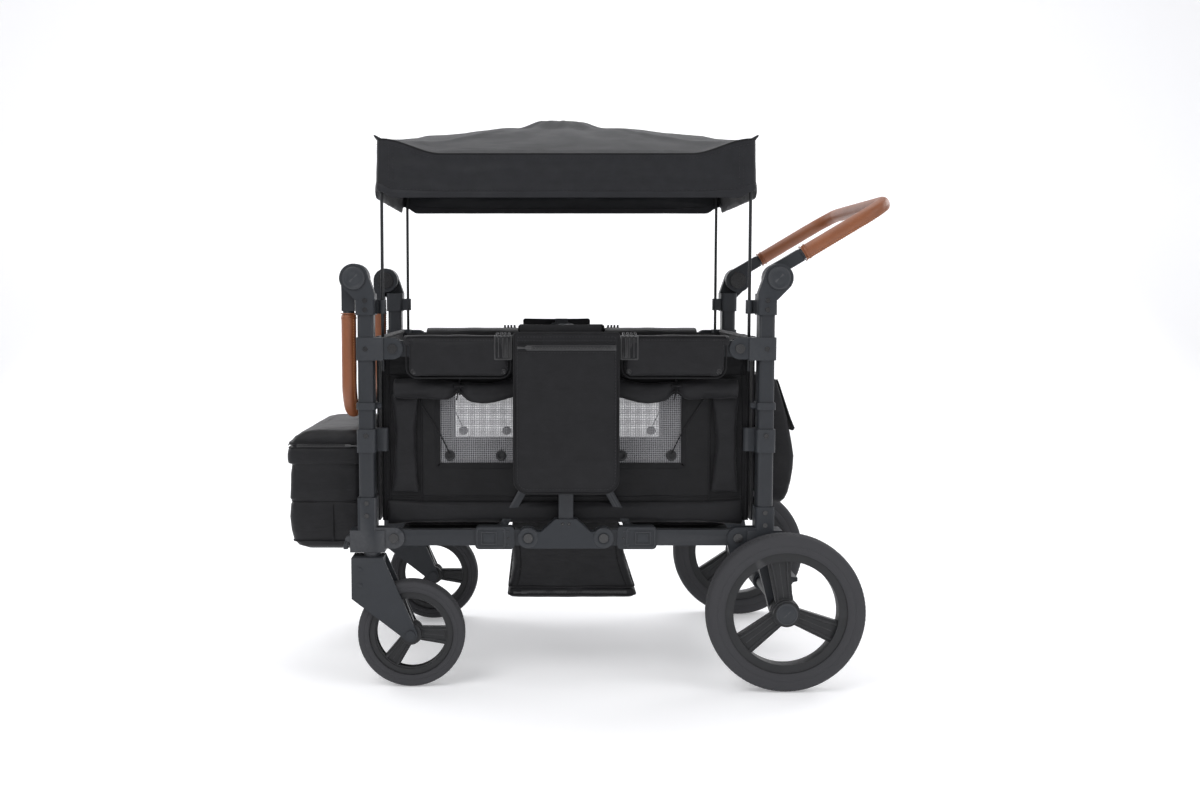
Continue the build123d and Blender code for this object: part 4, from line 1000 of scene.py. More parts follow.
@dataclass
class Chassis:
    """Dresses the tubes, castings, boards, wires and rims in their finishes, with eased edges.

    Attributes:
        ease: How far the edges are eased, in millimetres.
        sharper_than: The angle in degrees from which an edge is eased.
        weld: How near two points are joined, in millimetres.
        at_each_end: The nodes that both ends have, by finish.
        once: The nodes that the wagon has once.
    """

    ease: float = 1.0
    sharper_than: float = 35.0
    weld: float = 0.01
    at_each_end: tuple[tuple[Finishes, str], ...] = (
        (Finishes.TUBE, "posts cross_tubes handle_frame bottom_rails top_rails struts"),
        (Finishes.BRACKET, "post_heads post_brackets corner_brackets"),
        (Finishes.RIVET, "fasteners"),
        (Finishes.BOARD, "floor_board"),
        (Finishes.WIRE, "canopy_hoop"),
        (Finishes.RIM, "rim_left rim_right"),
        (Finishes.BUTTON, "button_left button_right"),
    )
    once: tuple[tuple[Finishes, str], ...] = (
        (Finishes.TUBE, "rear_axle centre_posts"),
        (Finishes.BRACKET, "brake_pedal caster_fork_left caster_fork_right hub_plates strut_collars"),
        (Finishes.BUTTON, "lock_lever_left lock_lever_right"),
        (Finishes.RIVET, "hub_pins"),
    )

    def build(self) -> None:
        """Dress every carried-over node."""
        for finish, names in self.at_each_end:
            for name in names.split():
                for end in End:
                    self.dress(f"{end}_{name}", finish)
        for finish, names in self.once:
            for name in names.split():
                self.dress(name, finish)

    def dress(self, node: str, finish: Finishes) -> None:
        """Give one node its finish and eased edges."""
        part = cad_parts[node]
        part.data.materials.clear()
        part.data.materials.append(finish.material())
        weld = part.modifiers.new("weld", "WELD")
        weld.merge_threshold = self.weld * MM
        bevel = part.modifiers.new("eased_edges", "BEVEL")
        bevel.width = self.ease * MM
        bevel.segments = 2
        bevel.limit_method = "ANGLE"
        bevel.angle_limit = math.radians(self.sharper_than)
        bevel.harden_normals = True
        LOG.info("%s: %s", node, finish.value.name)


# Wheels and handles


@dataclass(frozen=True)
class Wheel:
    """One wheel: its nodes, its spokes and its tread.

    Attributes:
        spokes: The spokes' angles in degrees.
        root: The spokes' width at the hub.
        tip: The spokes' width at the rim.
        seat: The radius that the tyre sits on.
        lugs: How many cuts the tread has.
        web: The spokes' thickness.
        lip: How far inside the seat the spokes end.
        groove: How deep the tread is cut.
    """

    end: End
    side: Side
    spokes: tuple[float, ...]
    root: float
    tip: float
    hub: float
    seat: float
    lugs: int
    web: float = 14.0
    lip: float = 14.0
    groove: float = 1.1

    @property
    def body(self) -> str:
        """The body that spins."""
        return f"{self.end}_wheel_{self.side}"

    def hub_place(self) -> tuple[Vector, float, float]:
        """The wheel's centre, its tyre's outer radius and half its width."""
        low, high = extent(f"{self.end}_tyre_{self.side}")
        return (low + high) / 2, (high.z - low.z) / 2, (high.y - low.y) / 2

    def tyre(self) -> None:
        """Build the tyre, with a lipped bead, ringed sidewalls and a grooved, cut tread."""
        centre, outer, half = self.hub_place()
        crown = outer - self.seat
        wall = [(0.0, 0.80), (0.1, 0.9), (0.2, 0.93), (0.3, 0.95), (0.36, 0.955), (0.4, 0.93), (0.44, 0.96),
                (0.55, 0.985), (0.66, 1.0), (0.76, 0.985), (0.84, 0.94), (0.9, 0.87), (0.945, 0.77)]
        tread = [(0.965, 0.69), (0.945, 0.66), (0.945, 0.62), (0.975, 0.58), (0.99, 0.42), (0.975, 0.38),
                 (0.975, 0.33), (0.995, 0.29), (1.0, 0.12), (0.985, 0.08)]
        half_profile = [(r, d, False) for r, d in wall] + [(r, d, True) for r, d in tread]
        profile = half_profile + [(r, -d, cut) for r, d, cut in reversed(half_profile)]
        former = Former()
        rows = []
        for k in range(self.lugs * 3):
            turn = 2 * math.pi * k / (self.lugs * 3)
            notch = self.groove if k % 3 == 0 else 0.0
            ring = []
            for r, d, cut in profile:
                reach = self.seat + crown * r - (notch if cut and abs(d) > 0.3 else 0.0)
                offset = Vector((math.cos(turn) * reach, half * d, math.sin(turn) * reach))
                ring.append(former.point(centre + offset))
            rows.append(ring)
        former.skin(rows, around=True, along=True)
        tyre = former.done(f"{self.body}_tyre", Finishes.TYRE, self.body, "tyre_rubber")
        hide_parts(f"{self.end}_tyre_{self.side}")

    def rib(self, former: Former, angle: float, edge: float, depth: float, radius: float) -> None:
        """Raise one rib along a spoke.

        Args:
            former: The mesh that it joins.
            angle: The spoke's angle in degrees.
            edge: Where it lies across the spoke, as a share of the spoke's width.
            depth: How far it is from the wheel's middle, along Y.
            radius: Its radius at the hub.
        """
        centre, _, _ = self.hub_place()
        forward = Vector((math.cos(math.radians(angle)), 0, math.sin(math.radians(angle))))
        sideways = Vector((-forward.z, 0, forward.x))
        start, end = self.hub * 0.95, self.seat - self.lip
        path = []
        for i in range(13):
            share = i / 12
            wide = self.root + (self.tip - self.root) * share ** 1.5
            off = edge * wide * (1 - 0.06 * math.sin(math.pi * share))
            reach = start + (end - start) * share
            path.append(centre + forward * reach + sideways * off + Vector((0, depth, 0)))
        former.tube(path, lambda t: radius * (0.8 + 0.5 * t), sides=8)

    def ribs(self, radius: float = 1.9) -> None:
        """Raise the ribs on both faces of every spoke, and a ring round the hub and inside the rim."""
        centre, _, _ = self.hub_place()
        rim = self.seat - self.lip
        level, upright = Vector((1, 0, 0)), Vector((0, 0, 1))
        former = Former()
        for face in (-1, 1):
            depth = face * (self.web / 2 + 0.2)
            for angle in self.spokes:
                for edge in (-0.36, 0.36):
                    self.rib(former, angle, edge, depth, radius)
                forward = Vector((math.cos(math.radians(angle)), 0, math.sin(math.radians(angle))))
                start, end = self.hub * 1.15, rim * 0.93
                sunk = centre + Vector((0, depth - face * 0.5, 0))
                middle = [sunk + forward * (start + (end - start) * i / 6) for i in range(7)]
                former.tube(middle, 0.9, sides=6)
            ring = circle(centre + Vector((0, depth, 0)), level, upright, self.hub, 48)
            former.tube(ring, radius, sides=8, closed=True, up=(0, 1, 0))
            lip = circle(centre + Vector((0, depth * 1.3, 0)), level, upright, rim + 2, 72)
            former.tube(lip, 1.4, sides=6, closed=True, up=(0, 1, 0))
        former.done(f"{self.body}_spoke_ribs", Finishes.RIM, self.body, "rim_plastic")

    def cap(self) -> None:
        """Add the domed cap in its ring on the outer side."""
        centre, _, _ = self.hub_place()
        low, high = extent(f"{self.end}_rim_{self.side}")
        face = low.y if self.side is Side.LEFT else high.y
        former = Former()
        size = self.hub * 0.72
        profile = [(size * 1.12, -2.0), (size * 1.12, 0.6), (size * 1.02, 1.2), (size * 0.94, 0.4),
                   (size * 0.9, 0.5), (size * 0.6, 2.2), (size * 0.2, 2.8), (0.02, 2.9)]
        former.revolve(profile, (centre.x, face, centre.z), (0, self.side.sign, 0), 40)
        former.done(f"{self.body}_cap", Finishes.BUTTON, self.body, "rim_plastic")


@dataclass
class Wheels:
    """The two large rear wheels and the two casters."""

    rear_spokes: tuple[float, ...] = (98.0, 218.0, 338.0)
    front_spokes: tuple[float, ...] = (115.0, 235.0, 355.0)
    rear_seat: float = 115.0
    front_seat: float = 80.0

    def build(self) -> None:
        """Build all four."""
        for side in Side:
            rear = Wheel(End.REAR, side, self.rear_spokes, root=30.0, tip=43.5, hub=25.0,
                         seat=self.rear_seat, lugs=110)
            front = Wheel(End.FRONT, side, self.front_spokes, root=24.0, tip=34.8, hub=20.0,
                          seat=self.front_seat, lugs=76)
            for wheel in (rear, front):
                wheel.tyre()
                wheel.ribs()
            rear.cap()


@dataclass
class Grip:
    """The stitched leather round one handle.

    Attributes:
        lean: The handle's angle above level, in degrees.
        start: Where the leather starts along the arm, from the pivot.
        reach: How far the handle's cross bar is from the pivot.
        offset: How far the arm stands off the pivot's own line.
    """

    end: End
    lean: float
    start: float = 66.0
    reach: float = 254.0
    offset: float = 14.0
    corner: float = 60.0
    radius: float = 14.3

    def frame_of(self) -> tuple[Vector, Vector, Vector, float]:
        """The pivot, the way along the arm, the way square to the handle, and half the handle's width."""
        mirror = self.end.sign
        low, high = extent("rear_button_left")
        pivot = Vector((mirror * (low.x + high.x) / 2, 0, (low.z + high.z) / 2))
        turn = math.radians(self.lean)
        along = Vector((mirror * math.cos(turn), 0, math.sin(turn)))
        square = Vector((-mirror * math.sin(turn), 0, math.cos(turn)))
        low, high = extent("rear_handle_grip")
        return pivot, along, square, (high.y - low.y) / 2 - self.radius

    def path(self) -> list[tuple[Vector, Vector]]:
        """The grip's middle line from one end to the other, each point with its outward direction."""
        pivot, along, square, half = self.frame_of()
        base = pivot + square * self.offset
        run = self.reach - self.corner
        spots = []
        for sign in (-1, 1):
            side = Vector((0, sign, 0))
            leg = [(base + along * (self.start + (run - self.start) * i / 16) + side * half, side)
                   for i in range(16)]
            for i in range(17):
                turn = math.pi / 2 * i / 16
                out = side * math.cos(turn) + along * math.sin(turn)
                leg.append((base + along * run + side * (half - self.corner) + out * self.corner, out))
            spots += leg if sign < 0 else [
                (base + along * self.reach + Vector((0, y, 0)), along)
                for y in spaced([-(half - self.corner), half - self.corner], 12.0)[1:-1]
            ] + leg[::-1]
        return spots

    def build(self) -> None:
        """Build the leather, its seam, its stitches and its folded end tabs."""
        spots = self.path()
        _, _, square, _ = self.frame_of()
        body = f"{self.end}_handle"
        former = Former()
        sides = 28
        rings = []
        count = len(spots) - 1
        for i, (middle, out) in enumerate(spots):
            lip = 1.2 * math.exp(-min(i, count - i) * 1.3)
            ring = []
            for k in range(sides):
                turn = 2 * math.pi * k / sides
                way = out * math.cos(turn) + square * math.sin(turn)
                soft = 0.35 * ripple(middle.x + way.x * 9, middle.y + way.y * 9, middle.z + way.z * 9, 14.0)
                ring.append(former.point(middle + way * (self.radius + lip + soft - 0.3)))
            rings.append(ring)
        former.skin(rings, around=True)
        for ring in (rings[0], rings[-1]):
            former.bm.faces.new(ring)
        leather = former.done(f"{self.end}_grip_leather", Finishes.LEATHER, body, "leather", level=1)
        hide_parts(f"{self.end}_handle_grip")
        seam_way = [(middle, (out * 0.55 - square * 0.83).normalized()) for middle, out in spots]
        seam = Former()
        seam.tube([middle + way * (self.radius - 0.1) for middle, way in seam_way], 0.9, sides=6)
        for end in (0, count):
            inner = spots[end + (1 if end == 0 else -1)][0]
            forward = (inner - spots[end][0]).normalized()
            for step in (0.5, 9.0):
                middle = spots[end][0] + forward * step
                out = spots[end][1]
                ring = circle(middle, out, square, self.radius + 0.5, 40)
                seam.tube(ring, 1.0, sides=6, closed=True, up=tuple(forward))
        seam.done(f"{self.end}_grip_seam", Finishes.LEATHER, body, "leather")
        thread = Former()
        for offset in (-0.2, 0.2):
            row = [middle + ((out * (0.55 + offset) - square * (0.83 - offset * 0.6)).normalized())
                   * (self.radius + 0.35) for middle, out in spots]
            thread.stitches(row, pitch=5.0, length=3.2, radius=0.42)
        thread.done(f"{self.end}_grip_stitches", Finishes.TAN_THREAD, body, "leather")


@dataclass
class Handles:
    """The leather grips, and the rings on the buttons that free the handles.

    Attributes:
        rear_lean: The rear handle's angle above level, in degrees.
        front_lean: The front handle's, folded straight down.
    """

    rear_lean: float = 31.0
    front_lean: float = -90.0

    def build(self) -> None:
        """Build both handles' dressings."""
        Grip(End.REAR, self.rear_lean).build()
        Grip(End.FRONT, self.front_lean).build()
        for end in (End.REAR, End.FRONT):
            for side in Side:
                self.button_ring(end, side)

    def button_ring(self, end: End, side: Side) -> None:
        """Raise a ring and a shallow dish on one button's face."""
        low, high = extent(f"{end}_button_{side}")
        face = low.y if side is Side.LEFT else high.y
        size = (high.x - low.x) / 2
        former = Former()
        profile = [(size * 0.98, -1.2), (size * 0.98, 0.1), (size * 0.9, 0.9), (size * 0.8, 0.9),
                   (size * 0.76, 0.25), (size * 0.5, 0.1), (size * 0.46, 0.5), (0.02, 0.55)]
        centre = (low + high) / 2
        former.revolve(profile, (centre.x, face, centre.z), (0, side.sign, 0), 48)
        former.done(f"{end}_button_face_{side}", Finishes.BUTTON, f"{end}_button_{side}", "button_plastic")


# The canopy


@dataclass
class Canopy:
    """One sheet over two hoops: a roof that peaks in the middle and a valance that hangs round it.

    Heights are in millimetres above the floor.

    Attributes:
        keep: The share of its length that is left when folded; not used.
        seam_low: The seam's height along the sides.
        end_crown: How much the seam rises to the middle of each end.
        ridge: Distances from the middle along X, and the roof's height there.
        hoop_start: Where the sides' seam starts to rise to the hoops.
        bump: How far the middle stands above the ridge.
        notch: How much shorter the valance is at its corners.
        side_seams: Where the sides' upright seams are, from the middle along X.
    """

    body: str = "front_canopy"
    slot: str = "canopy_fabric"
    joint: str = "fold"
    keep: float = 0.528
    corner: float = 12.0
    seam_low: float = 1007.0
    seam_corner: float = 1034.0
    end_crown: float = 11.0
    ridge: tuple[tuple[float, float], ...] = ((0, 1086.0), (120, 1082.0), (276, 1067.0), (355, 1045.0))
    bump: float = 13.0
    bump_reach: float = 84.0
    hoop_start: float = 235.0
    hoop_run: float = 110.0
    notch: float = 15.0
    side_seams: tuple[float, ...] = (-332.0, -324.0, 324.0, 332.0)
    tab: float = 22.0

    def __post_init__(self) -> None:
        """Read the cover's box from the frame."""
        low, high = extent("canopy_cover")
        self.half_x, self.half_y, self.hem_z = high.x, high.y, low.z
        self.loop = rounded_loop(2 * self.half_x, 2 * self.half_y, self.corner, 7.0)

    def ridge_height(self, x: float) -> float:
        """The roof's height along its middle line, without the bump."""
        for (start, low), (end, high) in zip(self.ridge, self.ridge[1:]):
            if abs(x) <= end:
                return low + (high - low) * (abs(x) - start) / (end - start)
        return self.ridge[-1][1]

    def side_seam(self, x: float) -> float:
        """The height of the sides' seam, low in the middle and raised towards the hoops."""
        share = ease((abs(x) - self.hoop_start) / self.hoop_run)
        return self.seam_low + (self.seam_corner - self.seam_low) * share

    def outward(self, u: float, v: float) -> Vector:
        """The level direction that the valance faces at a point of its outline."""
        return Vector((u if abs(u) > self.half_x - self.corner else 0.0,
                       v if abs(v) > self.half_y - self.corner else 0.0, 0.0)).normalized()

    def seam_height(self, x: float, y: float) -> float:
        """The seam's height where the roof turns down into the valance."""
        side = self.side_seam(x)
        across = min(1.0, abs(y) / self.half_y)
        end = self.seam_corner + self.end_crown * (1 - across ** 2)
        return end if abs(x) > self.half_x - 2 and across < 0.97 else side

    def roof(self, x: float, y: float) -> float:
        """The roof's height at a place, with its bump, folds and slack."""
        across = min(1.0, abs(y) / self.half_y)
        low = self.side_seam(x)
        height = low + (self.ridge_height(x) - low) * (1 - across ** 1.65)
        reach = math.hypot((x + 5) / self.bump_reach, y / self.bump_reach)
        height += self.bump * (1 - ease((reach - 0.45) / 0.62))
        turn = math.atan2(y, x + 5)
        inside = 1 - ease((max(abs(x) / self.half_x, across) - 0.8) / 0.2)
        height += 2.0 * math.cos(9 * turn + 0.7) * math.exp(-((reach - 1.25) / 0.8) ** 2) * inside
        diagonal = abs(across - abs(x) / self.half_x)
        height += 3.2 * math.exp(-(diagonal / 0.07) ** 2) * inside * ease(reach - 0.9)
        slack = 2.4 * ripple(x, y * 1.4, 0, 95.0) + 1.1 * ripple(x * 1.6, y, 50, 38.0)
        return height + slack * (0.35 + 0.65 * inside)

    def build(self) -> None:
        """Build the cover, its trims and its corner tabs."""
        cover = self.cover()
        trims = [self.welt(), self.hem(), self.sewing(), self.tabs()]
        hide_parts("canopy_cover")
        anchor = spot(-self.half_x, 0, self.seam_low)
        for piece in [cover] + trims:
            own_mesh(piece)

    def hang(self, u: float, v: float, share: float) -> Vector:
        """A point of the valance, the given share of the way down from the seam to the hem."""
        top = self.seam_height(u, v)
        to_corner = math.hypot(self.half_x - abs(u), self.half_y - abs(v))
        hem = self.hem_z + self.notch * (1 - ease(to_corner / 30))
        z = top + (hem - top) * share
        fold = 2.3 * math.sin(z / 6.4 + 2.2 * ripple(u, v, 0, 120.0))
        fold *= math.sin(math.pi * min(1, share * 1.15))
        fold += 2.0 * ripple(u, v, z * 2.2, 60.0) * share
        flare = 3.0 * share ** 1.5 + fold * ease(to_corner / 60)
        return Vector((u, v, z)) + self.outward(u, v) * flare

    def cover(self) -> bpy.types.Object:
        """Build the one sheet: the roof in rings, then the valance below them."""
        former = Former()
        rows = []
        rings = 46
        for k in range(rings + 1):
            share = k / rings
            rows.append([former.point((u * share, v * share, self.edge_height(u, v, share)))
                         for u, v in self.loop])
        for k in range(1, 15):
            rows.append([former.point(self.hang(u, v, k / 14)) for u, v in self.loop])
        former.skin(rows, around=True)
        bmesh.ops.remove_doubles(former.bm, verts=former.bm.verts, dist=SAME_SPOT)
        return former.done("canopy_sheet", Finishes.CANOPY, self.body, self.slot, thick=1.2)

    def edge_height(self, u: float, v: float, share: float) -> float:
        """The roof's height, brought to the seam's own height at the outline."""
        roof = self.roof(u * share, v * share)
        near = ease((share - 0.93) / 0.07)
        return roof + (self.seam_height(u, v) - roof) * near

    def welt(self) -> bpy.types.Object:
        """Run a corded welt round the seam."""
        former = Former()
        path = [Vector((u, v, self.seam_height(u, v) + 0.6)) for u, v in self.loop]
        former.tube(path, 1.9, sides=8, closed=True)
        return former.done("canopy_welt", Finishes.TRIM, self.body, self.slot)

    def hem(self) -> bpy.types.Object:
        """Fold a hem round the valance's lower edge."""
        former = Former()
        rows = []
        for share, off in ((0.86, 0.7), (0.87, 1.7), (0.93, 2.0), (0.995, 1.7), (1.01, 0.2), (0.995, -1.5),
                           (0.93, -1.7), (0.87, -1.5)):
            ring = []
            for u, v in self.loop:
                place = self.hang(u, v, share)
                out = Vector((u / self.half_x if abs(u) > self.half_x - self.corner else 0.0,
                              v / self.half_y if abs(v) > self.half_y - self.corner else 0.0, 0)).normalized()
                ring.append(former.point(place + out * off))
            rows.append(ring)
        former.skin(rows, around=True, along=True)
        return former.done("canopy_hem", Finishes.CANOPY, self.body, self.slot)

    def sewing(self) -> bpy.types.Object:
        """Sew the hem, the edge under the welt and the upright ends of each side."""
        former = Former()
        for share in (0.09, 0.84):
            path = [self.hang(u, v, share) + self.outward(u, v) * 0.9 for u, v in self.loop]
            former.stitches(path + path[:1], pitch=7.0, length=4.6)
        for side in Side:
            for x in self.side_seams:
                path = [self.hang(x, side.sign * self.half_y, k / 10) + Vector((0, side.sign * 0.9, 0))
                        for k in range(1, 9)]
                former.stitches(path, pitch=6.0, length=4.0)
        return former.done("canopy_stitches", Finishes.THREAD, self.body, self.slot)

    def tabs(self) -> bpy.types.Object:
        """Fold a pointed tab out of each corner, where the hoop's bend sits in the cloth."""
        former = Former()
        for end in End:
            for side in Side:
                base = Vector((end.sign * (self.half_x - 14), side.sign * (self.half_y - 12),
                               self.seam_corner - 4))
                way = Vector((end.sign * 0.9, side.sign * 0.3, 0.34)).normalized()
                path = [base + way * d + Vector((0, 0, 0.012 * d * d)) for d in (0, 5, 10, 15, 19, self.tab)]
                former.tube(path, lambda t: 8.5 * (1 - t) ** 0.7 + 2.0, sides=12, flat=0.5)
        return former.done("canopy_tabs", Finishes.CANOPY, self.body, self.slot, level=1)


# The tub


@dataclass(frozen=True)
class Folding:
    """Gives each piece of cloth between the two end frames its own copy of its mesh.

    Attributes:
        side_keep: The share of its length that is left when folded; not used.
    """

    joint: str = "fold"
    side_keep: float = 0.524

    def gather(self, piece: bpy.types.Object) -> None:
        """Give a piece of the side wall its own copy of its mesh."""
        low, _ = extent("side_liners")
        anchor = spot(low.x, 0, low.z)
        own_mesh(piece)


def wall_piece(
    former: Former, name: str, finish: Finishes, level: int = 0, thick: float = 0.0,
) -> bpy.types.Object:
    """Make a formed mesh a piece of a side wall, which moves with the front end.

    Args:
        former: The formed mesh.
        name: The piece's name.
        finish: What it is made of.
        level: Subdivision levels.
        thick: Its thickness in millimetres, where it is a sheet.

    Returns:
        The piece.
    """
    return former.done(name, finish, "front_frame", "liner_fabric", level, thick)


@dataclass
class Tub:
    """Cloth walls with net windows, rolled covers, padded strips, flaps, end walls and floor pads.

    Attributes:
        windows: Where each window starts and stops along X, front first.
        window_high: Their upper edge, behind the rolled covers.
        wall_middle: How far the walls are from the middle.
        cord_top: How high the thin elastic cords reach.
        pinches: Where the ties hold the covers in.
        flap_inner: Where the flaps start, from the middle.
        flap_y: How far out the flaps hang.
    """

    windows: tuple[tuple[float, float], ...] = ((-243.0, -98.0), (96.0, 224.0))
    window_low: float = 420.0
    window_high: float = 566.0
    binding_z: float = 490.0
    wall_middle: float = 236.5
    studs_x: tuple[float, ...] = (-222.0, -124.0, 108.0, 203.0)
    stud_z: float = 437.0
    cord_top: float = 548.0
    cord_run: float = 62.0
    roll_z: float = 568.0
    roll_start: float = 94.0
    roll_stop: float = 326.0
    roll_radius: float = 15.5
    pinches: tuple[float, ...] = (-204.0, 209.0)
    strip_x: float = 306.0
    strip_z: float = 462.0
    foot_z: float = 329.0
    flap_inner: float = 104.0
    flap_y: float = 286.6
    folding: Folding = field(default_factory=Folding)

    def build(self) -> None:
        """Build both sides, both ends and the floor."""
        self.low, self.high = extent("side_liners")
        for side in Side:
            self.wall(side)
            self.nets(side)
            self.studs(side)
            self.bindings(side)
            for end, pinch in zip(End, self.pinches):
                self.roll(end, side, pinch)
                self.strip(end, side)
            self.skirt(side)
        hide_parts("side_liners")
        for end in End:
            self.end_wall(end)
            self.floor_pad(end)
            for side in Side:
                self.flap(end, side)
                self.rail_hem(end, side)

    def wall(self, side: Side) -> bpy.types.Object:
        """Hang one side wall, with its window openings."""
        edges = [x for window in self.windows for x in window]
        across = spaced([self.low.x, *edges, self.high.x], 11.0)
        up = spaced([self.low.z + 2, self.window_low, self.window_high, self.high.z - 5], 11.0)

        def place(x: float, z: float) -> Point:
            """A point of the wall, puckered between its edges."""
            edge = min(1.0, (x - self.low.x) / 40, (self.high.x - x) / 40)
            puff = 1.5 * ripple(x, 0, z * 0.8, 70.0) + 0.5 * ripple(x * 1.8, 20, z, 24.0)
            return (x, side.sign * (self.wall_middle + puff * edge), z)

        def open_at(x: float, z: float) -> bool:
            """Whether a place lies in a window."""
            return self.window_low < z < self.window_high and any(a < x < b for a, b in self.windows)

        former = Former()
        former.grid(across, up, place, open_at)
        wall = wall_piece(former, f"wall_{side}", Finishes.LINER, thick=2.2)
        self.folding.gather(wall)
        return wall

    def nets(self, side: Side) -> None:
        """Stretch the net over each window."""
        for end, (start, stop) in zip(End, self.windows):
            former = Former()
            former.grid(
                spaced([start - 5, stop + 5], 7.0), spaced([self.window_low - 5, self.window_high + 5], 7.0),
                lambda x, z: (x, side.sign * (self.wall_middle - 1.6 + 0.7 * ripple(x, 0, z, 40.0)), z),
            )
            net = wall_piece(former, f"net_{end}_{side}", Finishes.NET)
            self.folding.gather(net)

    def studs(self, side: Side) -> None:
        """Press the round studs into the lower corners of the windows, and tie a cord to the outer two."""
        former = Former()
        for x in self.studs_x:
            profile = [(10.0, -1.0), (10.2, 0.6), (9.4, 1.8), (6.0, 2.6), (5.2, 2.0), (0.02, 2.2)]
            former.revolve(profile, (x, side.sign * self.wall_middle, self.stud_z), (0, side.sign, 0), 28)
        studs = former.done(f"window_studs_{side}", Finishes.WINDOW_STUD, "front_frame", "bracket_plastic")
        self.folding.gather(studs)
        cords = Former()
        for x, end in ((self.studs_x[-1], End.REAR), (self.studs_x[0], End.FRONT)):
            top = Vector((x + end.sign * self.cord_run, side.sign * (self.wall_middle + 3.0), self.cord_top))
            foot = Vector((x, side.sign * (self.wall_middle + 3.6), self.stud_z + 3))
            path = [foot.lerp(top, i / 14) - Vector((end.sign * 7.0, 0, 5.0)) * math.sin(math.pi * i / 14)
                    for i in range(15)]
            cords.tube(path, 1.2, sides=8)
        ties = wall_piece(cords, f"window_ties_{side}", Finishes.TRIM)
        self.folding.gather(ties)

    def bindings(self, side: Side) -> None:
        """Bind the window edges and cord the wall's corners."""
        former = Former()
        for start, stop in self.windows:
            axes = side_plane(side, (start + stop) / 2, self.wall_middle + 0.9, self.binding_z)
            height = 2 * (self.binding_z - self.window_low) + 14
            former.band(stop - start + 14, height, 6.0, 10.0, axes, 1.3)
        for x in (self.low.x + 5, -337, -276, 276, 337, self.high.x - 5):
            path = [(x, side.sign * (self.wall_middle + 2.2 + 0.5 * ripple(x, 0, z, 30.0)), z)
                    for z in spaced([self.low.z + 4, 652], 12.0)]
            former.tube(path, 1.7, sides=8)
        for z in (358.0, 592.0):
            path = [(x, side.sign * (self.wall_middle + 2.0), z + 1.2 * ripple(x, 0, z, 50.0))
                    for x in spaced([self.low.x + 8, self.high.x - 8], 14.0)]
            former.tube(path, 1.3, sides=8)
        bound = wall_piece(former, f"wall_bindings_{side}", Finishes.TRIM)
        self.folding.gather(bound)

    def roll(self, end: End, side: Side, pinch: float) -> None:
        """Roll one window's cover up above it, tied in the middle of its run.

        Args:
            end: The end that it is on.
            side: The side that it is on.
            pinch: Where the tie holds the roll in.
        """
        former = Former()
        rings = []
        middles = []
        for reach in spaced([self.roll_start, self.roll_stop], 4.0):
            share = (reach - self.roll_start) / (self.roll_stop - self.roll_start)
            close = math.exp(-((reach - abs(pinch)) / 13.0) ** 2)
            sag = 6.0 * math.sin(math.pi * min(1.0, share * 2.1)) + 3.0 * math.sin(math.pi * share)
            middle = Vector((end.sign * reach, side.sign * (self.wall_middle + 16.5 - 4 * close),
                             self.roll_z - sag + 6 * close + 3 * ripple(reach, side.sign * 9, 0, 60.0)))
            middles.append(middle)
            ring = []
            for k in range(36):
                turn = 2 * math.pi * k / 36
                size = self.roll_radius * (1 - 0.42 * close)
                size *= 1 + 0.07 * math.cos(3 * turn + reach / 46) + 0.13 * close * math.cos(9 * turn)
                size *= 1 + 0.10 * ripple(reach * 0.7, 40 * turn, side.sign * 30, 26.0)
                size -= 1.9 * math.exp(-((turn - 4.1 - 0.15 * math.sin(reach / 30)) / 0.13) ** 2)
                ring.append(former.point(middle + Vector((
                    0, side.sign * math.cos(turn) * size * 0.92, math.sin(turn) * size * 1.22))))
            rings.append(ring)
        former.skin(rings, around=True)
        for ring in (rings[0], rings[-1]):
            previous = ring
            for shrink in (0.82, 0.66, 0.44, 0.2):
                centre = sum((vertex.co for vertex in ring), Vector()) / len(ring)
                deeper = [former.bm.verts.new(centre + (vertex.co - centre) * shrink) for vertex in ring]
                former.skin([previous, deeper], around=True)
                previous = deeper
            former.bm.faces.new(previous)
        rolled = wall_piece(former, f"window_cover_{end}_{side}", Finishes.PADDED, level=1)
        self.folding.gather(rolled)
        tie = Former()
        centre = min(middles, key=lambda m: abs(m.x - pinch))
        ring = circle(centre, Vector((0, 11.0, 0)), Vector((0, 0, 13.2)), 1.0, 32)
        tie.tube(ring, 3.4, sides=8, closed=True, flat=0.4, up=(1, 0, 0))
        for spots, radius, sides, flat in (
            (((0, 13, -2), (-3, 14.5, -12), (-5, 13, -24)), 2.6, 8, 0.45),
            (((-9, 13.5, 3), (-4, 15.0, 3), (4, 15.0, 3), (9, 13.5, 3)), 2.5, 10, 1.0),
        ):
            path = [centre + Vector((x, side.sign * y, z)) for x, y, z in spots]
            tie.tube(path, radius, sides=sides, flat=flat)
        held = wall_piece(tie, f"cover_tie_{end}_{side}", Finishes.TRIM)
        self.folding.gather(held)

    def strip(self, end: End, side: Side) -> None:
        """Fill the upright padded strip beside the post."""
        former = Former()
        axes = side_plane(side, end.sign * self.strip_x, self.wall_middle + 5.6, self.strip_z)
        former.pillow(axes, 54, 196, edge=4.0, crown=3.4, pinch=2.0, corner=7.0, crease=1.1)
        pad = wall_piece(former, f"wall_strip_{end}_{side}", Finishes.PADDED)
        Stuffing(voxel=4.0, pressure=5.0, limit=4.0).fill(pad)
        self.folding.gather(pad)

    def skirt(self, side: Side) -> None:
        """Fill the padded band along the wall's foot."""
        former = Former()
        axes = side_plane(side, 0, self.wall_middle + 5.2, self.foot_z)
        former.pillow(axes, 686, 52, edge=4.0, crown=3.0, pinch=1.0, corner=6.0, crease=1.6)
        pad = wall_piece(former, f"wall_foot_{side}", Finishes.PADDED)
        Stuffing(voxel=4.5, pressure=5.0, limit=4.0).fill(pad)
        self.folding.gather(pad)

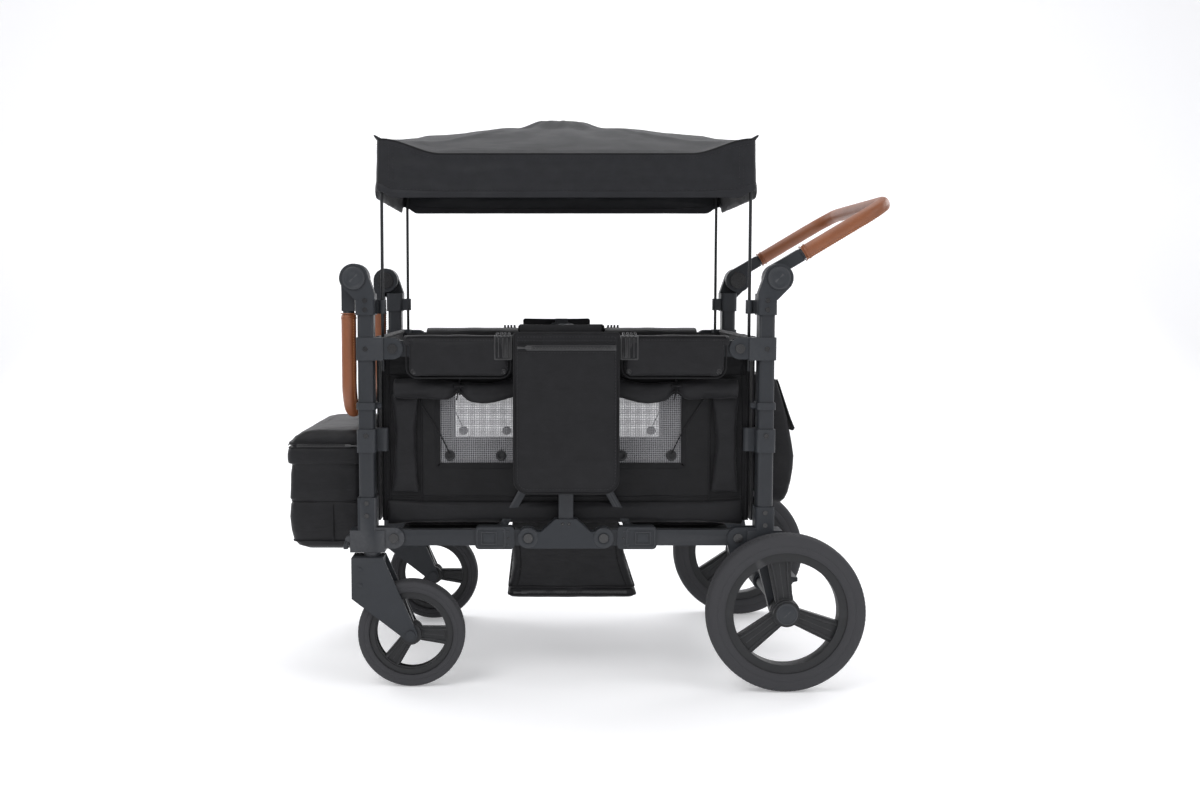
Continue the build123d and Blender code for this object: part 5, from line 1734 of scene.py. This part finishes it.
    def flap(self, end: End, side: Side) -> None:
        """Hang one padded flap outside its top rail, with its cording and its two snaps.

        Args:
            end: The end that it is on.
            side: The side that it is on.
        """
        low, high = extent(f"{end}_rail_flaps")
        outer = max(abs(low.x), abs(high.x))
        body = f"{end}_top"
        width, height = outer - self.flap_inner, high.z - low.z + 1
        middle = end.sign * (outer + self.flap_inner) / 2
        axes = side_plane(side, middle, self.flap_y, (low.z + high.z) / 2)
        former = Former()
        former.pillow(axes, width, height, edge=3.2, crown=2.0, pinch=1.6, corner=4.0, foot=20.0, crease=0.9)
        pad = former.done(f"rail_flap_{end}_{side}", Finishes.PADDED, body, "pad_fabric")
        Stuffing(voxel=4.0, pressure=4.0, limit=2.6).fill(pad)
        if side is Side.LEFT:
            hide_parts(f"{end}_rail_flaps")
        trim = Former()
        edge = [axes.place(u, v, 0.3) for u, v in rounded_loop(width + 0.5, height + 0.5, 4.0, 8.0, 20.0)]
        trim.tube(edge, 1.5, sides=8, closed=True, up=(0, 1, 0))
        trim.done(f"flap_cording_{end}_{side}", Finishes.TRIM, body, "pad_fabric")
        sewn = Former()
        inner = [axes.place(u, v, 3.6) for u, v in rounded_loop(width - 11, height - 11, 3.0, 8.0, 15.0)]
        sewn.stitches(inner + inner[:1], pitch=5.5, length=3.6, radius=0.5)
        sewn.done(f"flap_stitches_{end}_{side}", Finishes.THREAD, body, "pad_fabric")
        snaps = Former()
        for u in (-width / 2 + 13, width / 2 - 13):
            place = axes.place(u, -height / 2 + 12, 3.4)
            profile = [(5.2, -1.5), (5.2, 0.8), (4.2, 1.7), (3.0, 1.2), (2.4, 1.9), (0.02, 2.2)]
            snaps.revolve(profile, tuple(place), (0, side.sign, 0), 24)
        snaps.done(f"flap_snaps_{end}_{side}", Finishes.CLASP, body, "bracket_plastic")

    def rail_hem(self, end: End, side: Side) -> None:
        """Turn the wall's hem over the top rail to meet the flap.

        Args:
            end: The end that it is on.
            side: The side that it is on.
        """
        low, high = extent(f"{end}_rail_flaps")
        outer = max(abs(low.x), abs(high.x)) + 6
        profile = ((234.0, 640.0), (234.5, 655.0), (238.0, 662.5), (246.0, 666.0), (258.0, 668.0),
                   (270.0, 668.5), (280.0, 668.0), (286.0, 665.5), (288.5, 660.0), (288.5, 650.0))
        former = Former()

        def place(x: float, row: float) -> Point:
            """A point of the hem, wandering a little along the rail."""
            y, z = profile[int(row)]
            lift = 1.6 * ripple(x, y, side.sign * 40, 46.0)
            return (end.sign * x, side.sign * (y + 0.5 * lift * (y < 284)), z + lift * (z > 655))

        former.grid(spaced([self.flap_inner - 6, outer], 7.0), range(len(profile)), place)
        hem = former.done(f"rail_hem_{end}_{side}", Finishes.PADDED, f"{end}_top", "liner_fabric",
                          level=1, thick=2.0)

    def end_wall(self, end: End) -> None:
        """Fill one padded end wall with two sewn rows, and roll its top edge.

        Args:
            end: The end that it is on.
        """
        low, high = extent(f"{end}_end_panel")
        axes = Axes(((low.x + high.x) / 2, 0, (low.z + high.z) / 2), across=(0, 1, 0), out=(-end.sign, 0, 0))
        width, height = high.y - low.y - 4, high.z - low.z
        former = Former()
        former.pillow(axes, width, height, edge=4.0, crown=2.5, pinch=2.0, corner=10.0, crease=1.5, back=0.3)
        wall = former.done(f"end_wall_{end}", Finishes.PADDED, f"{end}_frame", "liner_fabric")
        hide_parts(f"{end}_end_panel")
        trim = Former()
        edge = [(axes.origin[0], y, high.z + 1 + 1.5 * ripple(0, y, 9, 40.0))
                for y in spaced([-width / 2 + 3, width / 2 - 3], 10.0)]
        trim.tube(edge, 6.0, sides=12, flat=0.8)
        trim.done(f"end_wall_roll_{end}", Finishes.PADDED, f"{end}_frame", "liner_fabric")
        seams = Former()
        for v in (-58, 58):
            seams.stitches([axes.place(u, v, 4.6) for u in spaced([-width / 2 + 14, width / 2 - 14], 12.0)],
                           pitch=6.0, length=4.0)
        seams.done(f"end_wall_stitches_{end}", Finishes.THREAD, f"{end}_frame", "liner_fabric")

    def floor_pad(self, end: End) -> None:
        """Fill one floor pad, then sew its channels and cord its edge."""
        low, high = extent(f"{end}_floor_pad")
        middle = (low + high) / 2
        size = high - low
        axes = Axes(tuple(middle - Vector((0, 0, 1.0))), across=(1, 0, 0), up=(0, 1, 0), out=(0, 0, 1))
        former = Former()
        former.pillow(axes, size.x - 6, size.y - 6, edge=9.0, crown=3.0, pinch=3.0, corner=14.0, back=0.0)
        pad = former.done(f"floor_cushion_{end}", Finishes.PADDED, f"{end}_floor", "pad_fabric")
        Stuffing(voxel=6.0, pressure=4.0, limit=5.0).fill(pad)
        channels = [middle.y + size.y * share for share in (-0.26, 0.0, 0.26)]
        for vertex in pad.data.vertices:
            if vertex.co.z > middle.z * MM:
                near = min(abs(vertex.co.y - y * MM) for y in channels) / MM
                vertex.co.z -= 4.5 * MM * math.exp(-(near / 6.0) ** 2)
        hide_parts(f"{end}_floor_pad")
        trim = Former()
        edge = [axes.place(u, v, 0.0) for u, v in rounded_loop(size.x - 3, size.y - 3, 15.0, 9.0)]
        trim.tube(edge, 2.0, sides=8, closed=True)
        trim.done(f"floor_cording_{end}", Finishes.TRIM, f"{end}_floor", "pad_fabric")


# Bags and pockets


@dataclass(frozen=True)
class Bag:
    """A bag's box and the levels that shape it.

    Attributes:
        start: The box's lowest x.
        stop: Its highest x.
        half: Half its width.
        corner: Its corners' radius.
        levels: From the top, each height and how far the low x, the high x and the sides are drawn in.
    """

    start: float
    stop: float
    half: float
    corner: float
    levels: tuple[tuple[float, ...], ...]

    @property
    def loop(self) -> list[tuple[float, float]]:
        """The box's outline from above."""
        return rounded_loop(self.stop - self.start, 2 * self.half, self.corner, 7.0)

    def sections(self, levels: tuple[tuple[float, ...], ...] | None = None) -> list[tuple[float, ...]]:
        """The levels as heights, lowest and highest x and half widths."""
        return [(z, self.start + low, self.stop - high, self.half - side)
                for z, low, high, side in levels or self.levels]

    def drawn_in(self, z: float) -> tuple[float, ...]:
        """How far the low x, the high x and the sides are drawn in at a height."""
        for upper, lower in zip(self.levels, self.levels[1:]):
            if lower[0] <= z <= upper[0]:
                share = (upper[0] - z) / (upper[0] - lower[0])
                return tuple(above + (below - above) * share for above, below in zip(upper[1:], lower[1:]))
        return self.levels[0 if z > self.levels[0][0] else -1][1:]

    def girth(self, z: float, proud: float) -> list[Point]:
        """The path of a cord round the bag at a height, standing proud of it."""
        low, high, side = self.drawn_in(z)
        start, stop = self.start + low, self.stop - high
        wide = (stop - start + 2 * proud) / (self.stop - self.start)
        deep = (self.half - side + proud) / self.half
        middle = (start + stop) / 2
        return [(middle + u * wide, v * deep, z + 0.8 * ripple(u, v, z, 40.0)) for u, v in self.loop]


FRONT_BAG_LEVELS = (
    (481, 44, 0, 16), (477, 26, 0, 8), (468, 10, 0, 3), (456, 1, 0, 0), (450, 3, 2, 2), (446, 0, 0, 0),
    (432, -1, 0, 0), (418, 0, 0, 0), (412, 5, 2, 4), (392, 3, 0, 3), (366, 1, 0, 1), (346, 0, 0, 0),
    (340, 4, 3, 3), (334, 0, 0, 0), (310, -1, 0, 0), (284, 1, 0, 1), (264, 5, 2, 4), (252, 14, 7, 10),
    (245, 30, 18, 22),
)
FRONT_FLAP_LEVELS = (
    (447, -1, -1, -1), (440, -3.5, -1, -3), (428, -4, -1, -3.5), (419, -3.5, -1, -3), (415, -1.5, 0, -1.5),
)
REAR_POCKET_LEVELS = (
    (580, 0, 36, 2), (572, 0, 33, 1), (556, 0, 28, 0), (530, 0, 20, 0), (505, 0, 13, 0), (480, 0, 7, 0),
    (455, 0, 2, 0), (430, 0, -1, 0), (405, 0, 0, 1), (380, 0, 3, 2), (358, 0, 8, 4), (345, 0, 13, 8),
    (338, 0, 20, 14),
)
FOOTWELL_LEVELS = (
    (285, 0, 26, 0), (270, -1, 26, 0), (250, 1, 24, 1), (230, 3, 21, 3), (210, 3, 16, 4), (195, 1, 11, 4),
    (182, -2, 6, 2), (174, -5, 2, 0), (170, -2, 5, 3), (165, -5, 0, 0), (158, -6, -1, 0), (153, -3, 4, 3),
    (151, 4, 14, 10),
)


@dataclass
class Storage:
    """The zipped side pockets, the front bag, the rear pocket and the footwell.

    Attributes:
        pocket_back: How far out the side pockets' backs are.
        front_back: Where the front bag's back is.
        bag_seam: Where its upright seams are, as a share of half its width.
        strap_y: How far the straps are from the middle.
        footwell_keep: The share of the footwell's length that is left when folded; not used.
    """

    pocket_back: float = 293.0
    pocket_depth: float = 23.0
    pocket_foot: float = 375.0
    pocket_top: float = 674.0
    zip_z: float = 647.0
    front_back: float = -396.0
    bag_zip_z: float = 451.0
    bag_seam: float = 0.36
    rear_back: float = 394.0
    flap_top: float = 580.0
    flap_foot: float = 480.0
    strap_y: float = 92.0
    strap_z: float = 470.0
    footwell_start: float = -104.0
    footwell_zip_z: float = 163.0
    footwell_keep: float = 0.55

    def build(self) -> None:
        """Build every bag."""
        pockets = [self.side_pocket(side) for side in Side]
        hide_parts("side_pockets")
        self.front_bag()
        self.rear_pocket()
        self.footwell()

    def side_pocket(self, side: Side) -> bpy.types.Object:
        """Build one side pocket, with its zip, its cording, its stitches and the flap behind it."""
        _, high = extent("side_pockets")
        half, foot, top = high.x, self.pocket_foot, self.pocket_top
        middle = (foot + top) / 2
        axes = side_plane(side, 0, self.pocket_back + self.pocket_depth / 2 - 2, middle)
        former = Former()
        former.pillow(axes, 2 * half - 2, top - foot, edge=self.pocket_depth - 7, crown=3.4, pinch=2.4,
                      corner=5.0, foot=26.0, crease=1.5)
        pocket = former.done(f"side_pocket_{side}", Finishes.POCKET, "centre_hub", "bag_fabric")
        face = self.pocket_depth / 2 - 3.0
        trim = Former()
        loop = rounded_loop(2 * half - 1.5, top - foot + 0.5, 5.0, 8.0, 26.0)
        for lift in (face - 0.5, -face + 1):
            trim.tube([axes.place(u, v, lift) for u, v in loop], 1.9, sides=8, closed=True, up=(0, 1, 0))
        z = self.zip_z - middle
        row = spaced([-half + 6, half - 6], 10)
        trim.tube([axes.place(u, z + 9, face + 2.4) for u in row], 1.2, sides=8)
        trim.done(f"pocket_cording_{side}", Finishes.TRIM, "centre_hub", "bag_fabric")
        sewn = Former()
        for v in (z + 13, z - 9):
            sewn.stitches([axes.place(u, v, face + 3.0) for u in spaced([-half + 8, half - 8], 12)], 5.5, 3.6)
        loop = rounded_loop(2 * half - 14, top - foot - 14, 4.0, 8.0, 20.0)
        sewn.stitches([axes.place(u, v, face + 1.6) for u, v in loop], 6.0, 4.0, 0.5)
        sewn.done(f"pocket_stitches_{side}", Finishes.THREAD, "centre_hub", "bag_fabric")
        closure = Former()
        start, end = axes.place(-half + 24, z, face + 2.6), axes.place(half - 6, z, face + 2.6)
        closure.zip_line(start, end, Vector((0, side.sign, 0)))
        closure.done(f"pocket_zip_{side}", Finishes.ZIP, "centre_hub", "bag_fabric")
        behind = Former()
        back = side_plane(side, -11, self.pocket_back - 5, 664)
        behind.pillow(back, 154, 52, edge=4.0, crown=1.5, pinch=1.0, corner=6.0, crease=0.8)
        flap = behind.done(f"pocket_strap_{side}", Finishes.PADDED, "centre_hub", "bag_fabric")
        return pocket

    def front_bag(self) -> None:
        """Build the front bag: its lofted shell, flap, zip, seams and hanging straps."""
        low, high = extent("front_bag")
        shape = Bag(low.x, self.front_back, high.y, 16.0, FRONT_BAG_LEVELS)
        face, back, half = shape.start, shape.stop, shape.half
        former = Former()
        former.loft(shape.loop, shape.sections(), bulge=2.5, crease=2.6, dome=3.0)
        bag = former.done("front_bag_shell", Finishes.BAG, "front_frame", "bag_fabric")
        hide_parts("front_bag")
        band = Former()
        band.loft(shape.loop, shape.sections(FRONT_FLAP_LEVELS), bulge=0.8, crease=1.2, dome=None)
        flap = band.done("front_bag_flap", Finishes.BAG, "front_frame", "bag_fabric", level=1, thick=1.6)
        trim = Former()
        for z in (456.0, 446.0, 340.0, 262.0):
            trim.tube(shape.girth(z, 1.5), 1.5, sides=8, closed=True)
        for y in (-half * self.bag_seam, half * self.bag_seam):
            trim.tube([(face + shape.drawn_in(z)[0] - 1.6, y + 1.5 * ripple(0, y, z, 30.0), z)
                       for z in spaced([412.0, 262.0], 9.0)], 1.4, sides=8)
        for y in (-1, 1):
            trim.tube([((face + back) / 2 + 14, y * (half + 0.6 + 0.8 * ripple(9, y, z, 30.0)), z)
                       for z in spaced([336.0, 262.0], 9.0)], 1.4, sides=8)
        trim.done("front_bag_cording", Finishes.TRIM, "front_frame", "bag_fabric")
        closure = Former()
        z = self.bag_zip_z
        for way in (-1, 1):
            y = way * (half + 1.0)
            closure.zip_line(Vector((back - 24, y, z)), Vector((face + 16, y, z)), Vector((0, way, 0)), 3.6)
        x = face + 0.5
        closure.zip_line(Vector((x, -half + 34, z)), Vector((x, half - 20, z)), Vector((-1, 0, 0)), 3.6)
        closure.done("front_bag_zip", Finishes.ZIP, "front_frame", "bag_fabric")
        self.straps(End.FRONT, back - 4)

    def straps(self, end: End, back: float) -> None:
        """Loop webbing round the cross tube to carry a bag.

        Args:
            end: front or rear.
            back: Where the bag's back is.
        """
        low, high = extent(f"{end}_cross_tubes")
        tube = (low.x + high.x) / 2
        reach = (high.x - low.x) / 2 + 2.0
        former = Former()
        loop = [(back, self.strap_z - 8)]
        for i in range(13):
            turn = math.pi * (1.5 - i / 12)
            loop.append((tube - end.sign * reach * math.cos(turn), self.strap_z + reach * math.sin(turn)))
        loop.append((back, self.strap_z + 8))
        for y in (-self.strap_y, self.strap_y):
            former.skin([[former.point((x, y + w, z)) for w in (-14, -5, 5, 14)] for x, z in loop])
        webbing = former.done(f"{end}_bag_straps", Finishes.TRIM, f"{end}_frame", "bag_fabric", thick=1.6)

    def rear_pocket(self) -> None:
        """Build the rear pocket: its lofted pouch, its flap, cording and stitches."""
        _, high = extent("rear_pocket")
        shape = Bag(self.rear_back, high.x, high.y, 9.0, REAR_POCKET_LEVELS)
        back, face, half = shape.start, shape.stop, shape.half
        top, foot = self.flap_top, self.flap_foot
        former = Former()
        former.loft(shape.loop, shape.sections(), bulge=2.0, crease=2.2, dome=2.0)
        pouch = former.done("rear_pocket_shell", Finishes.BAG, "rear_frame", "bag_fabric")
        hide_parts("rear_pocket")
        cover = Former()

        def place(y: float, z: float) -> Point:
            """A point of the flap, standing off the pouch more towards its lip."""
            share = (top - z) / (top - foot)
            round_off = 8 * max(0.0, (abs(y) - half + 30) / 30) ** 2 * share
            x = face - 34 + 30 * share ** 0.9 + 5 * share ** 3 + 1.6 * ripple(0, y, z, 44.0) * share
            return (x, y, z + round_off)

        cover.grid(spaced([-half + 6, half - 6], 9.0), spaced([foot, top], 7.0), place)
        flap = cover.done("rear_pocket_flap", Finishes.PADDED, "rear_frame", "bag_fabric", level=1, thick=3.0)
        trim = Former()
        edge = [place(-half + 6, z) for z in spaced([top, foot], 8.0)]
        edge += [place(y, foot) for y in spaced([-half + 6, half - 6], 8.0)[1:]]
        edge += [place(half - 6, z) for z in spaced([foot, top], 8.0)[1:]]
        trim.tube(edge, 2.2, sides=8, up=(1, 0, 0))
        trim.done("rear_pocket_cording", Finishes.TRIM, "rear_frame", "bag_fabric")
        sewn = Former()
        row = [Vector(place(y, foot + 10)) + Vector((2, 0, 0)) for y in spaced([-half + 16, half - 16], 8.0)]
        sewn.stitches(row, 6.0, 4.0, 0.5)
        sewn.done("rear_pocket_stitches", Finishes.THREAD, "rear_frame", "bag_fabric")
        self.straps(End.REAR, back + 4)

    def footwell(self) -> None:
        """Hang the footwell: a flared bag with a boxed base, its cording and its zip."""
        _, high = extent("footwell_bag")
        shape = Bag(self.footwell_start, high.x, high.y, 12.0, FOOTWELL_LEVELS)
        start, stop, half = shape.start, shape.stop, shape.half
        former = Former()
        former.loft(shape.loop, shape.sections(), bulge=1.0, crease=2.4, dome=-2.0)
        bag = former.done("footwell_shell", Finishes.BAG, "centre_hub", "bag_fabric")
        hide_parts("footwell_bag")
        trim = Former()
        for z in (174.0, 158.0):
            trim.tube(shape.girth(z, 1.0), 1.8, sides=8, closed=True)
        heights = spaced([283.0, 176.0], 8.0)
        for way in (-1, 1):
            for edge, end in ((start, End.REAR), (stop, End.FRONT)):
                path = []
                for z in heights:
                    low, high, side = shape.drawn_in(z)
                    inset = (low if end is End.REAR else high) + 14
                    path.append((edge + end.sign * inset, way * (half - side + 0.6), z))
                trim.tube(path, 1.6, sides=8)
        cording = trim.done("footwell_cording", Finishes.TRIM, "centre_hub", "bag_fabric")
        closure = Former()
        for way in (-1, 1):
            y = way * (half + 0.4)
            z = self.footwell_zip_z
            closure.zip_line(Vector((start + 20, y, z)), Vector((stop - 16, y, z)), Vector((0, way, 0)), 3.0)
        zipped = closure.done("footwell_zip", Finishes.ZIP, "centre_hub", "bag_fabric")
        for piece in (bag, cording, zipped):
            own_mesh(piece)


# Small fittings


@dataclass
class Fittings:
    """Screws, pivot discs, socket frames and the ribbed clips of the folding rails.

    Attributes:
        hub_pivot: How far the bottom rails' pivots are from the middle.
        clip_y: How far out they sit.
    """

    bottom_z: float = 285.0
    hub_pivot: float = 71.5
    socket_x: float = 142.0
    clip_x: float = 118.0
    clip_z: float = 646.0
    clip_y: float = 289.4
    clip_width: float = 34.0
    clip_height: float = 46.0

    def build(self) -> None:
        """Build the fittings of both sides."""
        for side in Side:
            self.hub(side)
            for end in End:
                self.socket(end, side)
                self.clip(end, side)

    def screw(self, former: Former, place: Point, side: Side, radius: float) -> None:
        """Sink a pan-head screw with a recessed drive.

        Args:
            former: The mesh that it joins.
            place: The middle of its seat.
            side: The side that it faces.
            radius: Its head's radius.
        """
        profile = [(radius, -0.8), (radius, 0.5), (radius * 0.86, 1.1), (radius * 0.5, 1.35),
                   (radius * 0.42, 0.5), (0.02, 0.45)]
        former.revolve(profile, place, (0, side.sign, 0), 20)

    def hub(self, side: Side) -> None:
        """Face one bottom hub: two pivot discs, their screws and the two by the crown."""
        _, high = extent("hub_plates")
        face = side.sign * high.y
        discs = Former()
        screws = Former()
        for x in (-self.hub_pivot, self.hub_pivot):
            profile = [(18.5, -0.8), (18.5, 0.6), (17.6, 1.4), (10.5, 1.5), (9.8, 0.9), (6.4, 0.9),
                       (6.0, 1.5), (0.02, 1.5)]
            discs.revolve(profile, (x, face, self.bottom_z), (0, side.sign, 0), 44)
            self.screw(screws, (x, face + side.sign * 1.5, self.bottom_z), side, 4.4)
        for x in (-6, 6):
            self.screw(screws, (x, face, self.bottom_z + 27), side, 3.0)
        discs.done(f"hub_discs_{side}", Finishes.BRACKET, "centre_hub", "bracket_plastic")
        screws.done(f"hub_screws_{side}", Finishes.RIVET, "centre_hub", "fastener")

    def socket(self, end: End, side: Side) -> None:
        """Frame one rail socket and its square recess.

        Args:
            end: The end that it is on.
            side: The side that it is on.
        """
        _, high = extent(f"{end}_bottom_rails")
        axes = side_plane(side, end.sign * self.socket_x, high.y - 0.2, self.bottom_z)
        former = Former()
        former.band(56, 39, 7.0, 3.2, axes, 1.5)
        inner = Axes(tuple(axes.place(end.sign * 4, 0)), out=(0, side.sign, 0))
        former.band(30, 25, 2.5, 2.4, inner, 1.8)
        former.plate(rounded_loop(22, 17, 1.5, 6.0), inner, 0.7)
        for z in (-13, 13):
            former.tube([axes.place(end.sign * u, z, 0.4) for u in (-34, -30, -26, -22)], 1.1, sides=8)
        former.done(f"socket_frame_{end}_{side}", Finishes.BRACKET, f"{end}_floor", "bracket_plastic")
        screws = Former()
        self.screw(screws, tuple(axes.place(-end.sign * 33, 0)), side, 2.0)
        screws.done(f"socket_screws_{end}_{side}", Finishes.RIVET, f"{end}_floor", "fastener")

    def clip(self, end: End, side: Side) -> None:
        """Fasten one ribbed clip over the flap's inner end.

        Args:
            end: The end that it is on.
            side: The side that it is on.
        """
        axes = side_plane(side, end.sign * self.clip_x, self.clip_y, self.clip_z)
        former = Former()
        former.plate(rounded_loop(self.clip_width, self.clip_height, 3.0, 8.0), axes, 2.4)
        rim = Axes(tuple(axes.place(0, 0, 2.2)), out=(0, side.sign, 0))
        former.band(self.clip_width, self.clip_height, 3.0, 3.0, rim, 1.3)
        for u in (-8, 0, 8):
            former.tube([rim.place(u, v, 0.5) for v in spaced([-18, 18], 6.0)], 1.9, sides=8)
        for u in (-11, -3.5, 3.5, 11):
            hook = [rim.place(u, v, w) for v, w in ((20, 0.4), (23, 0.0), (26, -2.5), (27, -7))]
            former.tube(hook, 2.5, sides=8)
        former.done(f"ribbed_clip_{end}_{side}", Finishes.CLASP, f"{end}_top", "bracket_plastic")


def main() -> None:
    """Build the wagon's looks, piece by piece."""
    logging.basicConfig(level=logging.INFO, format="%(message)s")
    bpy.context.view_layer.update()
    for part in (Studio(), Chassis(), Wheels(), Handles(), Canopy(), Tub(), Storage(), Fittings()):
        LOG.info("Building the %s", type(part).__name__.lower())
        part.build()


if __name__ == "__main__":
    main()
